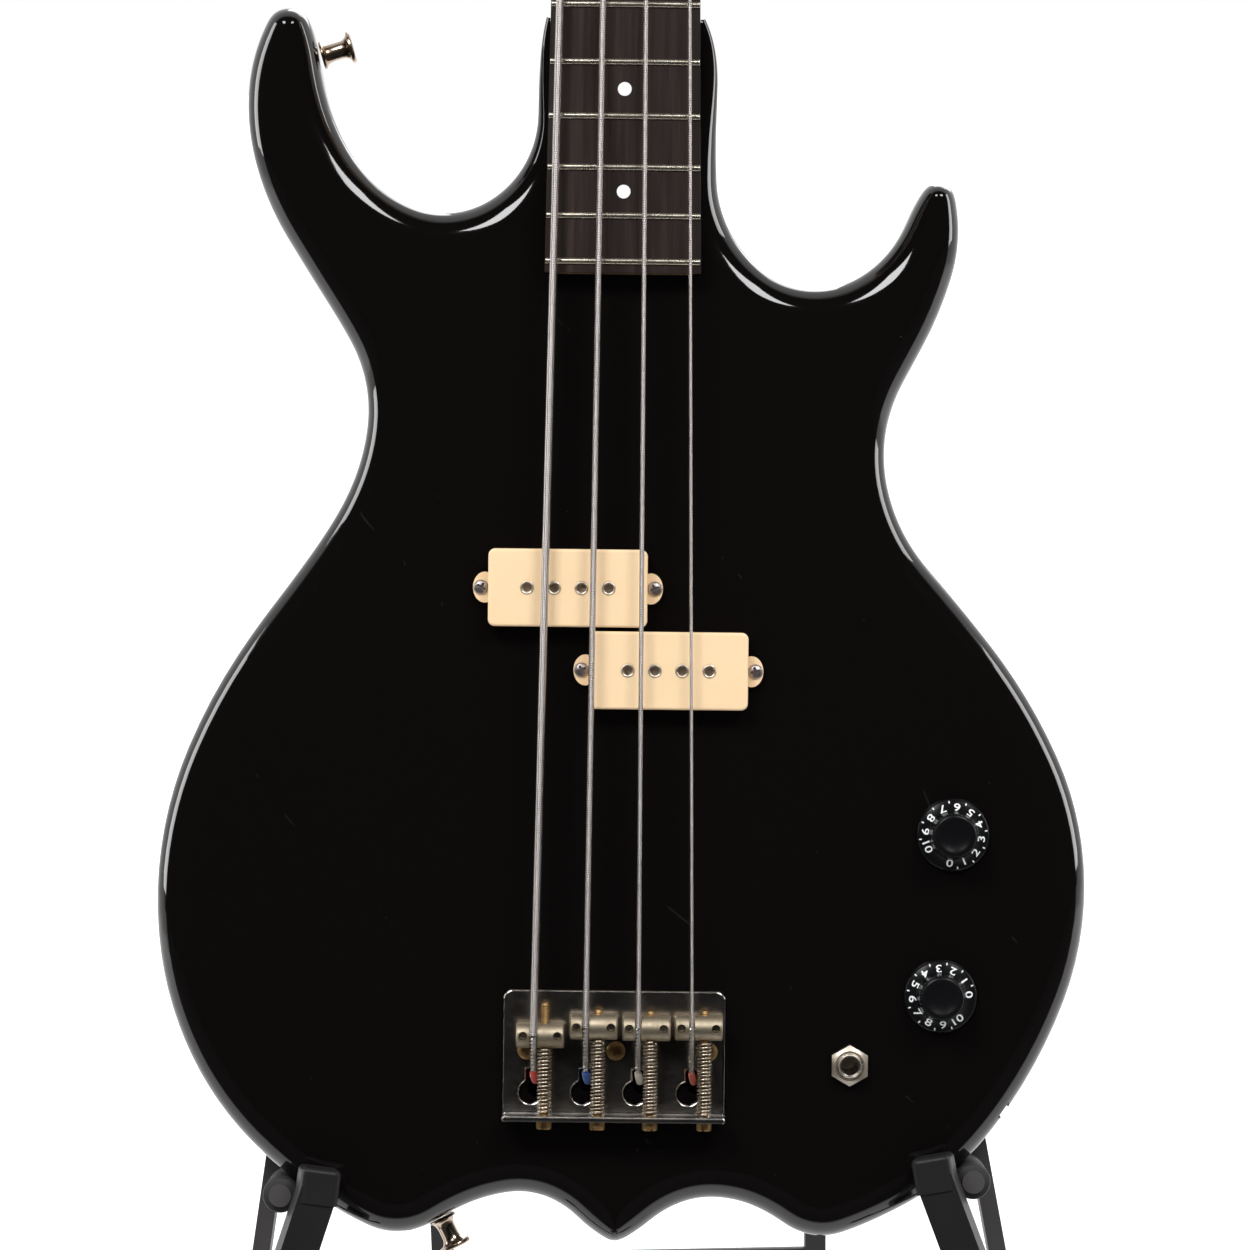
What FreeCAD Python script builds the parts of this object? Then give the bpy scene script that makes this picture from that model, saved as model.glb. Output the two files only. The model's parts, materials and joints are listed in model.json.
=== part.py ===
import FreeCAD, Part
import os
import Sketcher
from math import asin, cos, degrees, pi, radians, sin, sqrt, tan

V = FreeCAD.Vector
Placement = FreeCAD.Placement
Rotation = FreeCAD.Rotation

# Four-string electric bass on a folding A-frame stand. Millimetres and degrees.
# Bass frame: +X toward the thin strings, +Y up the neck from the saddle line, +Z out of the front,
# with Z = 0 on the body's front face. Stand frame: +X right, +Y up the sloping front legs from the
# floor, +Z forward, with Z = 0 on the plane that the back of the body leans on.

doc = FreeCAD.newDocument("bass_on_stand")
sheet = doc.addObject("Spreadsheet::Sheet", "Sizes")

SIZES = {
    # stance
    "lean_angle": 10.0,
    "roll_angle": 1.75,
    "rest_clearance": 0.3,
    # strings and neck
    "scale_length": 863.6,
    "fret_count": 20,
    "string_gap": 0.05,
    "string_lift": 14.4,
    "nut_lift": 0.6,
    "nut_length": 4.5,
    "nut_width": 39.4,
    "heel_width": 55.4,
    "board_rise": 9.0,
    "board_thickness": 5.0,
    "board_radius": 305.0,
    "board_overhang": 4.0,
    "fret_height": 1.1,
    "fret_width": 2.4,
    "dot_radius": 2.5,
    "dot_depth": 1.5,
    "neck_depth_nut": 16.0,
    "neck_depth_heel": 19.0,
    "heel_depth": 16.0,
    "heel_length": 92.0,
    "head_thickness": 14.0,
    "head_drop": 2.5,
    "head_length": 196.0,
    "head_width": 84.0,
    "truss_radius": 3.0,
    "truss_clearance": 10.0,
    "joint_plate_length": 64.0,
    "joint_plate_width": 51.0,
    "joint_plate_thickness": 2.0,
    "joint_plate_corner": 4.0,
    "joint_screw_inset": 6.5,
    # body
    "body_thickness": 41.0,
    "edge_round": 5.5,
    "pocket_gap": 0.2,
    "cavity_wall": 6.0,
    "cover_thickness": 2.0,
    "cover_lip": 5.0,
    "cavity_x": 107.0,
    "cavity_y": 30.0,
    "cavity_width": 68.0,
    "cavity_length": 122.0,
    "cavity_corner": 16.0,
    # pickup
    "cover_length": 56.5,
    "cover_width": 27.6,
    "cover_height": 8.5,
    "cover_wall": 1.5,
    "cover_corner": 2.5,
    "ear_reach": 5.2,
    "ear_radius": 5.5,
    "ear_height": 2.5,
    "upper_pickup_x": -18.2,
    "upper_pickup_y": 156.2,
    "lower_pickup_x": 17.8,
    "lower_pickup_y": 127.2,
    "pole_radius": 2.5,
    "pole_spacing": 9.65,
    "pole_proud": 0.5,
    "rout_depth": 18.0,
    # bridge
    "plate_width": 79.0,
    "plate_front": 13.5,
    "plate_back": 32.5,
    "plate_thickness": 2.0,
    "flange_height": 15.0,
    "plate_corner": 3.5,
    "saddle_radius": 4.5,
    "saddle_length": 17.0,
    "saddle_bevel": 0.5,
    "screw_reach": 1.5,
    "screw_reach_e": 7.0,
    "groove_depth": 0.8,
    "saddle_screw_radius": 1.5,
    "saddle_screw_spread": 6.1,
    "intonation_radius": 1.5,
    "spring_radius": 2.65,
    "spring_wire": 0.9,
    "keyhole_radius": 4.0,
    "keyhole_slot": 1.8,
    "keyhole_back": 23.0,
    "keyhole_front": 16.5,
    "anchor_setback": 0.9,
    "ball_radius": 2.2,
    # controls
    "volume_x": 119.6,
    "volume_y": 70.0,
    "tone_x": 115.8,
    "tone_y": 12.6,
    "knob_radius": 13.0,
    "knob_height": 15.0,
    "knob_top_radius": 8.3,
    "knob_gap": 0.6,
    "shaft_radius": 3.0,
    "shaft_clearance": 0.05,
    "pot_radius": 12.0,
    "pot_height": 9.0,
    "bushing_radius": 4.7,
    "jack_x": 83.8,
    "jack_y": -12.4,
    "jack_bore": 3.2,
    "jack_thread": 4.7,
    "jack_nut_flats": 12.7,
    "jack_nut_height": 2.4,
    "jack_washer_radius": 7.6,
    "jack_washer_height": 0.8,
    "jack_barrel_radius": 7.5,
    "jack_barrel_length": 24.0,
    "pot_nut_flats": 11.0,
    "pot_nut_height": 2.0,
    "capacitor_radius": 4.0,
    "capacitor_thickness": 3.0,
    # strap buttons
    "button_length": 11.7,
    "button_radius": 5.7,
    "button_waist": 3.2,
    # tuning machines
    "tuner_first": 50.0,
    "tuner_pitch": 52.0,
    "post_spacing": 24.0,
    "post_radius": 4.75,
    "post_height": 23.0,
    "wheel_radius": 8.6,
    "wheel_thickness": 5.0,
    "worm_radius": 3.9,
    "worm_gap": 0.3,
    "worm_shaft_radius": 2.0,
    "tuner_plate_length": 38.0,
    "tuner_plate_width": 30.0,
    "tuner_plate_thickness": 1.6,
    "lug_thickness": 3.0,
    "lug_width": 8.0,
    "lug_spread": 23.0,
    "bushing_wall": 1.7,
    "bushing_rim": 1.5,
    "key_length": 22.0,
    "key_width": 25.0,
    "key_thickness": 4.0,
    "key_neck": 12.0,
    "retainer_length": 44.0,
    "retainer_width": 6.0,
    "retainer_thickness": 3.0,
    "retainer_post": 2.2,
    "retainer_setback": 18.0,
    # screws: head's radius and height, shank's radius and length
    "neck_screw_head": 4.2,
    "neck_screw_rise": 2.4,
    "neck_screw_shank": 2.3,
    "neck_screw_length": 38.0,
    "pickup_screw_head": 2.6,
    "pickup_screw_rise": 1.4,
    "pickup_screw_shank": 1.6,
    "pickup_screw_length": 14.0,
    "bridge_screw_head": 3.6,
    "bridge_screw_rise": 1.8,
    "bridge_screw_shank": 2.1,
    "bridge_screw_length": 18.0,
    "tuner_screw_head": 2.3,
    "tuner_screw_rise": 1.2,
    "tuner_screw_shank": 1.4,
    "tuner_screw_length": 9.0,
    "cover_screw_head": 2.4,
    "cover_screw_rise": 0.6,
    "cover_screw_shank": 1.5,
    "cover_screw_length": 12.0,
    "intonation_head": 2.7,
    "intonation_rise": 3.0,
    # stand
    "roller_height": 235.0,
    "roller_spacing": 246.5,
    "roller_radius": 6.35,
    "peg_radius": 4.0,
    "leg_offset": 6.0,
    "leg_splay": 9.3,
    "leg_width": 6.2,
    "leg_depth": 20.0,
    "leg_setback": 4.0,
    "cross_height": 450.0,
    "cross_radius": 8.0,
    "rest_radius": 13.7,
    "rest_length": 124.0,
    "rear_opening": 24.0,
    "rear_spacing": 146.0,
    "rear_leg_width": 8.0,
    "rear_leg_depth": 18.0,
    "spreader_radius": 5.0,
    "spreader_drop": 320.0,
    "arm_root_drop": 100.0,
    "arm_standoff": 8.0,
    "arm_width": 13.0,
    "arm_thickness": 13.2,
    "arm_bend": 14.0,
    "arm_gap": 3.5,
    "arm_end_rise": 3.0,
    "arm_end_inset": 13.8,
    "cap_length": 12.7,
    "cap_reach": 7.7,
    "cap_wall": 0.5,
    "cap_corner": 2.6,
    "pin_radius": 2.5,
    "lug_radius": 5.0,
    "lug_depth": 6.0,
    "lug_gap": 0.3,
    "foot_width": 16.0,
    "foot_length": 36.0,
    "foot_height": 24.0,
    "foot_sole": 5.0,
}


class Size:
    """A number that remembers the sheet expression it came from."""

    def __init__(self, value, text=None):
        self.value = value
        self.text = text if text is not None else repr(value)

    def combine(self, other, sign, flip=False):
        other = other if isinstance(other, Size) else Size(other)
        first, second = (other, self) if flip else (self, other)
        results = {
            "+": lambda: first.value + second.value,
            "-": lambda: first.value - second.value,
            "*": lambda: first.value * second.value,
            "/": lambda: first.value / second.value,
        }
        return Size(results[sign](), f"({first.text} {sign} {second.text})")

    def __add__(self, other):
        return self.combine(other, "+")

    def __radd__(self, other):
        return self.combine(other, "+", True)

    def __sub__(self, other):
        return self.combine(other, "-")

    def __rsub__(self, other):
        return self.combine(other, "-", True)

    def __mul__(self, other):
        return self.combine(other, "*")

    def __rmul__(self, other):
        return self.combine(other, "*", True)

    def __truediv__(self, other):
        return self.combine(other, "/")

    def __neg__(self):
        return Size(-self.value, f"(0 - {self.text})")

    def __float__(self):
        return float(self.value)


class Sheet:
    """The spreadsheet's cells as attributes."""


size = Sheet()
for row, (name, value) in enumerate(SIZES.items(), 1):
    sheet.set(f"A{row}", name)
    sheet.set(f"B{row}", str(value))
    sheet.setAlias(f"B{row}", name)
    setattr(size, name, Size(value, f"Sizes.{name}"))
doc.recompute()


def num(value):
    return float(value)


# ---------------------------------------------------------------- document helpers

sub_parts = []


def finish(item, label, frame):
    """Names a finished sub-part and puts it in its frame."""
    item.Label = label
    sub_parts.append((item, frame))
    return item


def bind(item, prop, value):
    value = value if isinstance(value, Size) else Size(value)
    if value.text.startswith(("Sizes", "(")):
        item.setExpression(prop, value.text)
    else:
        setattr(item, prop, value.value)


def at(item, x=0, y=0, z=0, axis=(0, 0, 1), turn=0):
    """Places a primitive, with its +Z along axis."""
    spin = Rotation(V(0, 0, 1), V(*axis)) * Rotation(V(0, 0, 1), turn)
    item.Placement = Placement(V(num(x), num(y), num(z)), spin)
    return item


def cylinder(radius, height, *place, **turned_to):
    item = doc.addObject("Part::Cylinder", "cylinder")
    bind(item, "Radius", radius)
    bind(item, "Height", height)
    return at(item, *place, **turned_to)


def cone(radius_1, radius_2, height, *place, **turned_to):
    item = doc.addObject("Part::Cone", "cone")
    bind(item, "Radius1", radius_1)
    bind(item, "Radius2", radius_2)
    bind(item, "Height", height)
    return at(item, *place, **turned_to)


def box(length, width, height, x, y, z):
    """A box centred on x and y that stands on z."""
    item = doc.addObject("Part::Box", "box")
    bind(item, "Length", length)
    bind(item, "Width", width)
    bind(item, "Height", height)
    return at(item, num(x) - num(length) / 2, num(y) - num(width) / 2, z)


def sphere(radius, *place):
    item = doc.addObject("Part::Sphere", "sphere")
    bind(item, "Radius", radius)
    return at(item, *place)


def feature(shape, name="form"):
    item = doc.addObject("Part::Feature", name)
    item.Shape = shape
    return item


def cut(base, *tools):
    item = doc.addObject("Part::Cut", "cut")
    item.Base = base
    item.Tool = tools[0] if len(tools) == 1 else fuse(*tools)
    return item


def fuse(*items):
    item = doc.addObject("Part::MultiFuse", "fuse")
    item.Shapes = list(items)
    item.Refine = True
    return item


def common(*items):
    item = doc.addObject("Part::MultiCommon", "common")
    item.Shapes = list(items)
    return item


def group(*items):
    """Separate solids kept together in one sub-part."""
    item = doc.addObject("Part::Compound", "group")
    item.Links = list(items)
    return item


# ---------------------------------------------------------------- sketch helpers

def new_body(label):
    return doc.addObject("PartDesign::Body", f"{label}_solid")


def sketch_on(body, role, lift=0):
    """A sketch on one of the body's own origin planes, lifted along the plane's normal."""
    sketch = body.newObject("Sketcher::SketchObject", "sketch")
    plane = next(f for f in body.Origin.OriginFeatures if f.Role == role)
    sketch.AttachmentSupport = [(plane, "")]
    sketch.MapMode = "FlatFace"
    sketch.AttachmentOffset = Placement(V(0, 0, num(lift)), Rotation())
    if isinstance(lift, Size):
        sketch.setExpression("AttachmentOffset.Base.z", lift.text)
    return sketch


def pin_down(sketch, edge, point, x, y):
    """Ties a sketch point to the sheet."""
    for kind, value in (("DistanceX", x), ("DistanceY", y)):
        if num(value) == 0:
            axis = -2 if kind == "DistanceX" else -1
            sketch.addConstraint(Sketcher.Constraint("PointOnObject", edge, point, axis))
            continue
        index = sketch.addConstraint(Sketcher.Constraint(kind, -1, 1, edge, point, num(value)))
        if isinstance(value, Size) and value.text.startswith(("Sizes", "(")):
            sketch.setExpression(f"Constraints[{index}]", value.text)


def polygon(sketch, points):
    first = sketch.GeometryCount
    count = len(points)
    for i, (x, y) in enumerate(points):
        x2, y2 = points[(i + 1) % count]
        sketch.addGeometry(Part.LineSegment(V(num(x), num(y), 0), V(num(x2), num(y2), 0)), False)
    for i in range(count):
        follower = first + (i + 1) % count
        sketch.addConstraint(Sketcher.Constraint("Coincident", first + i, 2, follower, 1))
        pin_down(sketch, first + i, 1, *points[i])


def circle(sketch, x, y, radius):
    index = sketch.addGeometry(Part.Circle(V(num(x), num(y), 0), V(0, 0, 1), num(radius)), False)
    pin_down(sketch, index, 3, x, y)
    constraint = sketch.addConstraint(Sketcher.Constraint("Radius", index, num(radius)))
    if isinstance(radius, Size):
        sketch.setExpression(f"Constraints[{constraint}]", radius.text)


def pad(body, sketch, length, both_ways=False):
    item = body.newObject("PartDesign::Pad", "pad")
    item.Profile = sketch
    bind(item, "Length", length)
    item.Midplane = both_ways
    sketch.Visibility = False
    return item


def pocket(body, sketch, length, flip=False):
    item = body.newObject("PartDesign::Pocket", "pocket")
    item.Profile = sketch
    bind(item, "Length", length)
    item.Reversed = flip
    return item


def turned(label, profile):
    """A solid of revolution about Z from (radius, height) points."""
    body = new_body(label)
    sketch = sketch_on(body, "XZ_Plane")
    polygon(sketch, profile)
    item = body.newObject("PartDesign::Revolution", "revolution")
    item.Profile = sketch
    item.ReferenceAxis = (sketch, ["V_Axis"])
    item.Angle = 360
    return body


def round_edges(body, feature_item, names, radius):
    item = body.newObject("PartDesign::Fillet", "fillet")
    item.Base = (feature_item, names)
    bind(item, "Radius", radius)
    return item


def edges_where(shape, test):
    return [f"Edge{i}" for i, edge in enumerate(shape.Edges, 1) if test(edge)]


def rectangle(width, height, x=0, y=0):
    left = x - width / 2
    right = x + width / 2
    low = y - height / 2
    high = y + height / 2
    return [(left, low), (right, low), (right, high), (left, high)]


def screw(kind, x, y, z, axis=(0, 0, -1)):
    """A screw whose head's underside is at the given point, and whose shank runs along axis."""
    head, rise, shank, length = (
        getattr(size, f"{kind}_screw_{part}") for part in ("head", "rise", "shank", "length")
    )
    back = V(*axis) * -1
    return fuse(cylinder(head, rise, x, y, z, axis=tuple(back)), cylinder(shank, length, x, y, z, axis=axis))


def screw_hole(kind, x, y, z, axis=(0, 0, -1)):
    """The hole that a screw's shank fills, a little open at its mouth."""
    start = V(num(x), num(y), num(z)) - V(*axis)
    radius, length = getattr(size, f"{kind}_screw_shank"), getattr(size, f"{kind}_screw_length")
    return cylinder(radius, length + 1, start.x, start.y, start.z, axis=axis)


# ---------------------------------------------------------------- strings: where they run

STRINGS = ("e", "a", "d", "g")
string_radius = {"e": 1.335, "a": 1.08, "d": 0.825, "g": 0.57}
saddle_x = {"e": -28.6, "a": -10.1, "d": 8.5, "g": 27.5}
saddle_y = {"e": -2.3, "a": 1.0, "d": 0.7, "g": 0.9}
barrel_x = {"e": -26.2, "a": -7.3, "d": 11.4, "g": 29.9}
adjuster_shift = {"e": 1.6, "a": 1.6, "d": 1.5, "g": 2.2}
anchor_shift = {"e": -0.7, "a": -0.3, "d": 0.0, "g": 0.0}
nut_x = {"e": -15.9, "a": -5.3, "d": 5.3, "g": 15.9}

scale = num(size.scale_length)
board_top = num(size.board_rise)
board_bottom = board_top - num(size.board_thickness)
head_top = board_bottom - num(size.head_drop)
head_bottom = head_top - num(size.head_thickness)
body_back = -num(size.body_thickness)


def fret_y(number):
    return scale * 2 ** (-number / 12)


def board_width_at(y):
    """Width of the tapering fingerboard at a distance from the saddle line."""
    last = fret_y(num(size.fret_count))
    share = (scale - y) / (scale - last)
    return num(size.nut_width) + share * (num(size.heel_width) - num(size.nut_width))


board_end = fret_y(num(size.fret_count)) - num(size.board_overhang)


def arch(x, radius=None):
    """Drop of the arched board below its crown."""
    radius = radius or num(size.board_radius)
    return radius - sqrt(radius ** 2 - x ** 2)


def string_line(name):
    """Centre of the string over its saddle and over the nut."""
    radius = string_radius[name]
    bridge_end = V(saddle_x[name], saddle_y[name], num(size.string_lift) + radius - arch(saddle_x[name]))
    lift = board_top + num(size.fret_height) + num(size.nut_lift) + radius
    nut_end = V(nut_x[name], scale, lift - arch(nut_x[name]))
    return bridge_end, nut_end


# ---------------------------------------------------------------- body

def around(x, y, radius, start, end, count):
    """Points spaced along an arc."""
    turns = [radians(start + (end - start) * i / (count - 1)) for i in range(count)]
    return [(x + radius * cos(turn), y + radius * sin(turn)) for turn in turns]


# The body's outline from the left shoulder round to the right one, with its three tips as arcs.
OUTLINE = [
    (-28.1, 359.2), (-30.1, 345.1), (-35.8, 306.8), (-64.5, 289.6), (-83.8, 296.4), (-107.1, 332.8),
    *around(-120.3, 353.7, 8.5, 8, 165, 5),
    (-131.6, 307.2), (-103.6, 254.6), (-92.0, 231.4), (-94.8, 195.1), (-110.1, 167.5),
    (-135.7, 131.6), (-162.7, 62.1), (-150.6, -12.8), (-99.8, -65.4), (-73.6, -74.0), (-53.4, -64.7),
    (-21.1, -62.2),
    *around(0.9, -69.7, 7.0, 230, 310, 3),
    (21.5, -64.0), (51.7, -64.2), (71.0, -73.7), (92.4, -68.6), (118.2, -53.3), (141.7, -26.4),
    (167.5, 52.1), (132.4, 138.0), (95.0, 195.2), (95.6, 217.9), (107.4, 243.8),
    *around(112.1, 295.4, 6.8, -5, 165, 4),
    (97.0, 280.3), (68.1, 263.9), (40.6, 280.1), (32.9, 326.3), (32.3, 346.5), (28.4, 359.2),
]


def arc_from(start, heading, end):
    """The arc that leaves start along heading and reaches end."""
    chord = end - start
    across = V(-heading.y, heading.x, 0)
    offset = across.dot(chord)
    if abs(offset) < 1e-4 * chord.Length:
        return Part.makeLine(start, end)
    centre = start + across * (chord.dot(chord) / (2 * offset))
    middle = (start + end) * 0.5 - centre
    middle.normalize()
    return Part.Arc(start, centre + middle * abs(chord.dot(chord) / (2 * offset)), end).toShape()


def biarc(start, start_heading, end, end_heading):
    """Two arcs that meet tangentially and match the headings at both ends."""
    span = end - start
    along = span.dot(start_heading + end_heading)
    bend = 2 * (1 - start_heading.dot(end_heading))
    if bend < 1e-6:
        reach = span.dot(span) / (4 * span.dot(end_heading))
    else:
        reach = (sqrt(along ** 2 + bend * span.dot(span)) - along) / bend
    joint = (start + start_heading * reach + end - end_heading * reach) * 0.5
    return [arc_from(start, start_heading, joint), arc_from(end, -end_heading, joint)]


def outline_face(points):
    """A closed outline of tangent arcs through the points, with a straight top."""
    curve = Part.BSplineCurve()
    curve.interpolate([V(x, y, 0) for x, y in points])
    nodes = [V(x, y, 0) for x, y in points]
    headings = [curve.tangent(curve.parameter(node))[0] for node in nodes]
    edges = []
    for i in range(len(nodes) - 1):
        edges += biarc(nodes[i], headings[i], nodes[i + 1], headings[i + 1])
    edges.append(Part.makeLine(nodes[-1], nodes[0]))
    return Part.Face(Part.Wire(Part.__sortEdges__(edges)))


def rounded_slab():
    """The body blank with its long front and back edges rounded over."""
    blank = feature(outline_face(OUTLINE).extrude(V(0, 0, body_back)), "body_blank")
    slab = doc.addObject("Part::Fillet", "rounded_slab")
    slab.Base = blank
    radius = num(size.edge_round)
    for i, edge in enumerate(blank.Shape.Edges, 1):
        level = edge.BoundBox.ZLength < 0.001
        if level and edge.BoundBox.YLength > 0.001:
            slab.Edges = slab.Edges + [(i, radius, radius)]
    return slab


def rout(x, y, length, width, depth, corner, top=0.0):
    """A router pocket with round corners, cut down from the given height."""
    half_x, half_y = num(length) / 2, num(width) / 2
    corner_at = V(num(x) - half_x, num(y) - half_y, top - num(depth))
    item = Part.makeBox(2 * half_x, 2 * half_y, num(depth) + 1, corner_at)
    upright = [edge for edge in item.Edges if abs(edge.tangentAt(edge.FirstParameter).z) > 0.9]
    return item.makeFillet(num(corner), upright)


def make_body(frame):
    routs = [heel_block(num(size.pocket_gap)), control_rout()]
    for x, y in pickup_places():
        routs.append(rout(x, y, size.cover_length - 6, size.cover_width - 6, size.rout_depth, 3))
    tools = [feature(shape, "rout") for shape in routs]
    for name in STRINGS:
        anchor = string_anchor(name)
        tools.append(cylinder(size.ball_radius + 0.8, 7.0, anchor.x, anchor.y, -6))
    tools += [cylinder(size.bushing_radius + 0.2, 20.0, x, y, -15) for x, y in knob_places()]
    tools.append(cylinder(size.jack_thread + 0.2, 20.0, size.jack_x, size.jack_y, -15))
    tools += [screw_hole("pickup", x, y, size.ear_height) for x, y in ear_places()]
    tools += [screw_hole("bridge", x, y, size.plate_thickness) for x, y in plate_screw_places()]
    under_plate = body_back - num(size.joint_plate_thickness)
    tools += [screw_hole("neck", x, y, under_plate, axis=(0, 0, 1)) for x, y in neck_plate_places()]
    tools += [screw_hole("cover", x, y, body_back, axis=(0, 0, 1)) for x, y in cover_screw_places()]
    return finish(cut(rounded_slab(), *tools), "bass_body", frame)


def pickup_places():
    return [
        (num(size.upper_pickup_x), num(size.upper_pickup_y)),
        (num(size.lower_pickup_x), num(size.lower_pickup_y)),
    ]


def knob_places():
    return [(num(size.volume_x), num(size.volume_y)), (num(size.tone_x), num(size.tone_y))]


def control_rout():
    """Control cavity from the back, with a ledge for its cover."""
    x, y, corner = num(size.cavity_x), num(size.cavity_y), num(size.cavity_corner)
    length, width, lip = num(size.cavity_width), num(size.cavity_length), num(size.cover_lip)
    floor = -num(size.cavity_wall)
    deep = num(size.body_thickness) - num(size.cavity_wall)
    cavity = rout(x, y, length, width, deep, corner, floor - 1)
    thick = num(size.cover_thickness)
    ledge = rout(x, y, length + 2 * lip, width + 2 * lip, thick, corner + lip, body_back + thick - 1)
    return cavity.fuse(ledge)


def heel_block(gap=0.0):
    """The neck's heel, or its pocket when it is given a gap."""
    low = board_end - gap
    high = low + num(size.heel_length) + gap + 40 * bool(gap)
    half_low = board_width_at(board_end) / 2 + gap
    half_high = board_width_at(high) / 2 + gap
    corners = [(-half_low, low), (half_low, low), (half_high, high), (-half_high, high)]
    wire = Part.makePolygon([V(x, y, board_bottom) for x, y in corners + corners[:1]])
    block = Part.Face(wire).extrude(V(0, 0, -(board_bottom + num(size.heel_depth) + gap)))
    upright = [
        edge for edge in block.Edges
        if abs(edge.tangentAt(edge.FirstParameter).z) > 0.9 and edge.BoundBox.YMin < low + 1
    ]
    return block.makeFillet(3 + gap, upright)


# ---------------------------------------------------------------- neck

def neck_section(y, width, side, depth):
    """A closed section of the neck: flat top, short straight sides and a back in one arc."""
    half = width / 2
    top = board_bottom
    left, right = V(-half, y, top), V(half, y, top)
    low_left, low_right = V(-half, y, top - side), V(half, y, top - side)
    back = Part.Arc(low_right, V(0, y, top - depth), low_left)
    return Part.Wire([
        Part.makeLine(left, right), Part.makeLine(right, low_right), back.toShape(),
        Part.makeLine(low_left, left),
    ])


def head_face():
    """Headstock outline: a plain paddle, two tuners a side."""
    wide, start = num(size.head_width) / 2, scale - 12
    neck_half = num(size.nut_width) / 2
    top = scale + num(size.head_length)
    half = [
        (neck_half, start), (neck_half + 0.4, scale + 4), (neck_half + 9, scale + 26),
        (wide - 4, scale + 46), (wide, scale + 72), (wide - 5, scale + 125), (wide - 6, top - 34),
    ]
    cap = [(wide - 17, top - 9), (0, top)]
    right = half + cap
    points = right + [(-x, y) for x, y in reversed(right[:-1])]
    curve = Part.BSplineCurve()
    curve.interpolate([V(x, y, head_bottom) for x, y in points])
    foot = Part.makeLine(V(-neck_half, start, head_bottom), V(neck_half, start, head_bottom))
    return Part.Face(Part.Wire([curve.toShape(), foot]))


def make_neck(frame):
    heel_top = board_end + num(size.heel_length)
    free = [
        (heel_top - 1, num(size.neck_depth_heel) + 1.5, 6.0),
        (heel_top + 30, num(size.neck_depth_heel), 2.5),
        (scale + num(size.nut_length), num(size.neck_depth_nut), 2.5),
    ]
    sections = [neck_section(y, board_width_at(y), side, depth) for y, depth, side in free]
    shaft = Part.makeLoft(sections, True, True)
    head = head_face().extrude(V(0, 0, num(size.head_thickness)))
    neck = fuse(feature(shaft, "shaft"), feature(heel_block(), "heel"), feature(head, "head"))
    holes = [truss_bar()]
    holes += [
        cylinder(size.post_radius + size.bushing_wall, size.head_thickness + 2, x, y, head_bottom - 1)
        for x, y in post_places().values()
    ]
    under_plate = body_back - num(size.joint_plate_thickness)
    holes += [screw_hole("neck", x, y, under_plate, axis=(0, 0, 1)) for x, y in neck_plate_places()]
    under_tuner = head_bottom - num(size.tuner_plate_thickness)
    for name in STRINGS:
        holes += [screw_hole("tuner", x, y, under_tuner, axis=(0, 0, 1)) for x, y in tuner_screw_places(name)]
    return finish(cut(neck, *holes), "neck", frame)


def truss_bar():
    """The truss rod's bar under the fingerboard, which is also the shape of its channel."""
    start = board_end + num(size.truss_clearance)
    length = scale - start - 5 * num(size.truss_clearance)
    level = board_bottom - 2 * num(size.truss_radius)
    return cylinder(size.truss_radius, length, 0, start, level, axis=(0, 1, 0))


def make_truss_rod(frame):
    return finish(truss_bar(), "truss_rod", frame)


def make_fretboard(frame):
    high, low = scale, board_end
    corners = [
        V(-board_width_at(low) / 2, low, board_bottom), V(board_width_at(low) / 2, low, board_bottom),
        V(num(size.nut_width) / 2, high, board_bottom), V(-num(size.nut_width) / 2, high, board_bottom),
    ]
    slab = Part.Face(Part.makePolygon(corners + corners[:1])).extrude(V(0, 0, num(size.board_thickness)))
    crown = cylinder(size.board_radius, scale, 0, low - 1, board_top - num(size.board_radius), axis=(0, 1, 0))
    board = common(feature(slab, "board_blank"), crown)
    floor = board_top - size.dot_depth
    wells = [cylinder(size.dot_radius, size.dot_depth, x, y, floor) for x, y in dot_places()]
    return finish(cut(board, *wells), "fretboard", frame)


def dot_places():
    """Position dots between the frets, two at the octave."""
    places = []
    for fret in (3, 5, 7, 9, 12, 15, 17, 19):
        y = (fret_y(fret) + fret_y(fret - 1)) / 2
        places += [(-9.0, y), (9.0, y)] if fret == 12 else [(0.0, y)]
    return places


def make_dots(frame):
    dots = [
        cylinder(size.dot_radius, size.dot_depth - 0.15, x, y, board_top - size.dot_depth)
        for x, y in dot_places()
    ]
    return finish(group(*dots), "position_dots", frame)


def make_frets(frame):
    """Crowned wires bent to the board's radius."""
    frets = []
    centre = board_top - num(size.board_radius)
    half_width, height = num(size.fret_width) / 2, num(size.fret_height)
    crown = [(-1.0, 0.0), (-0.8, 0.6), (-0.35, 1.0), (0.35, 1.0), (0.8, 0.6), (1.0, 0.0)]
    for number in range(1, int(num(size.fret_count)) + 1):
        y = fret_y(number)
        spread = degrees(asin((board_width_at(y) / 2 - 0.3) / num(size.board_radius)))
        points = [V(0, y + share * half_width, board_top + rise * height) for share, rise in crown]
        section = Part.Face(Part.makePolygon(points + points[:1]))
        section.rotate(V(0, 0, centre), V(0, 1, 0), -spread)
        frets.append(feature(section.revolve(V(0, 0, centre), V(0, 1, 0), 2 * spread), "fret"))
    return finish(group(*frets), "frets", frame)


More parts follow.
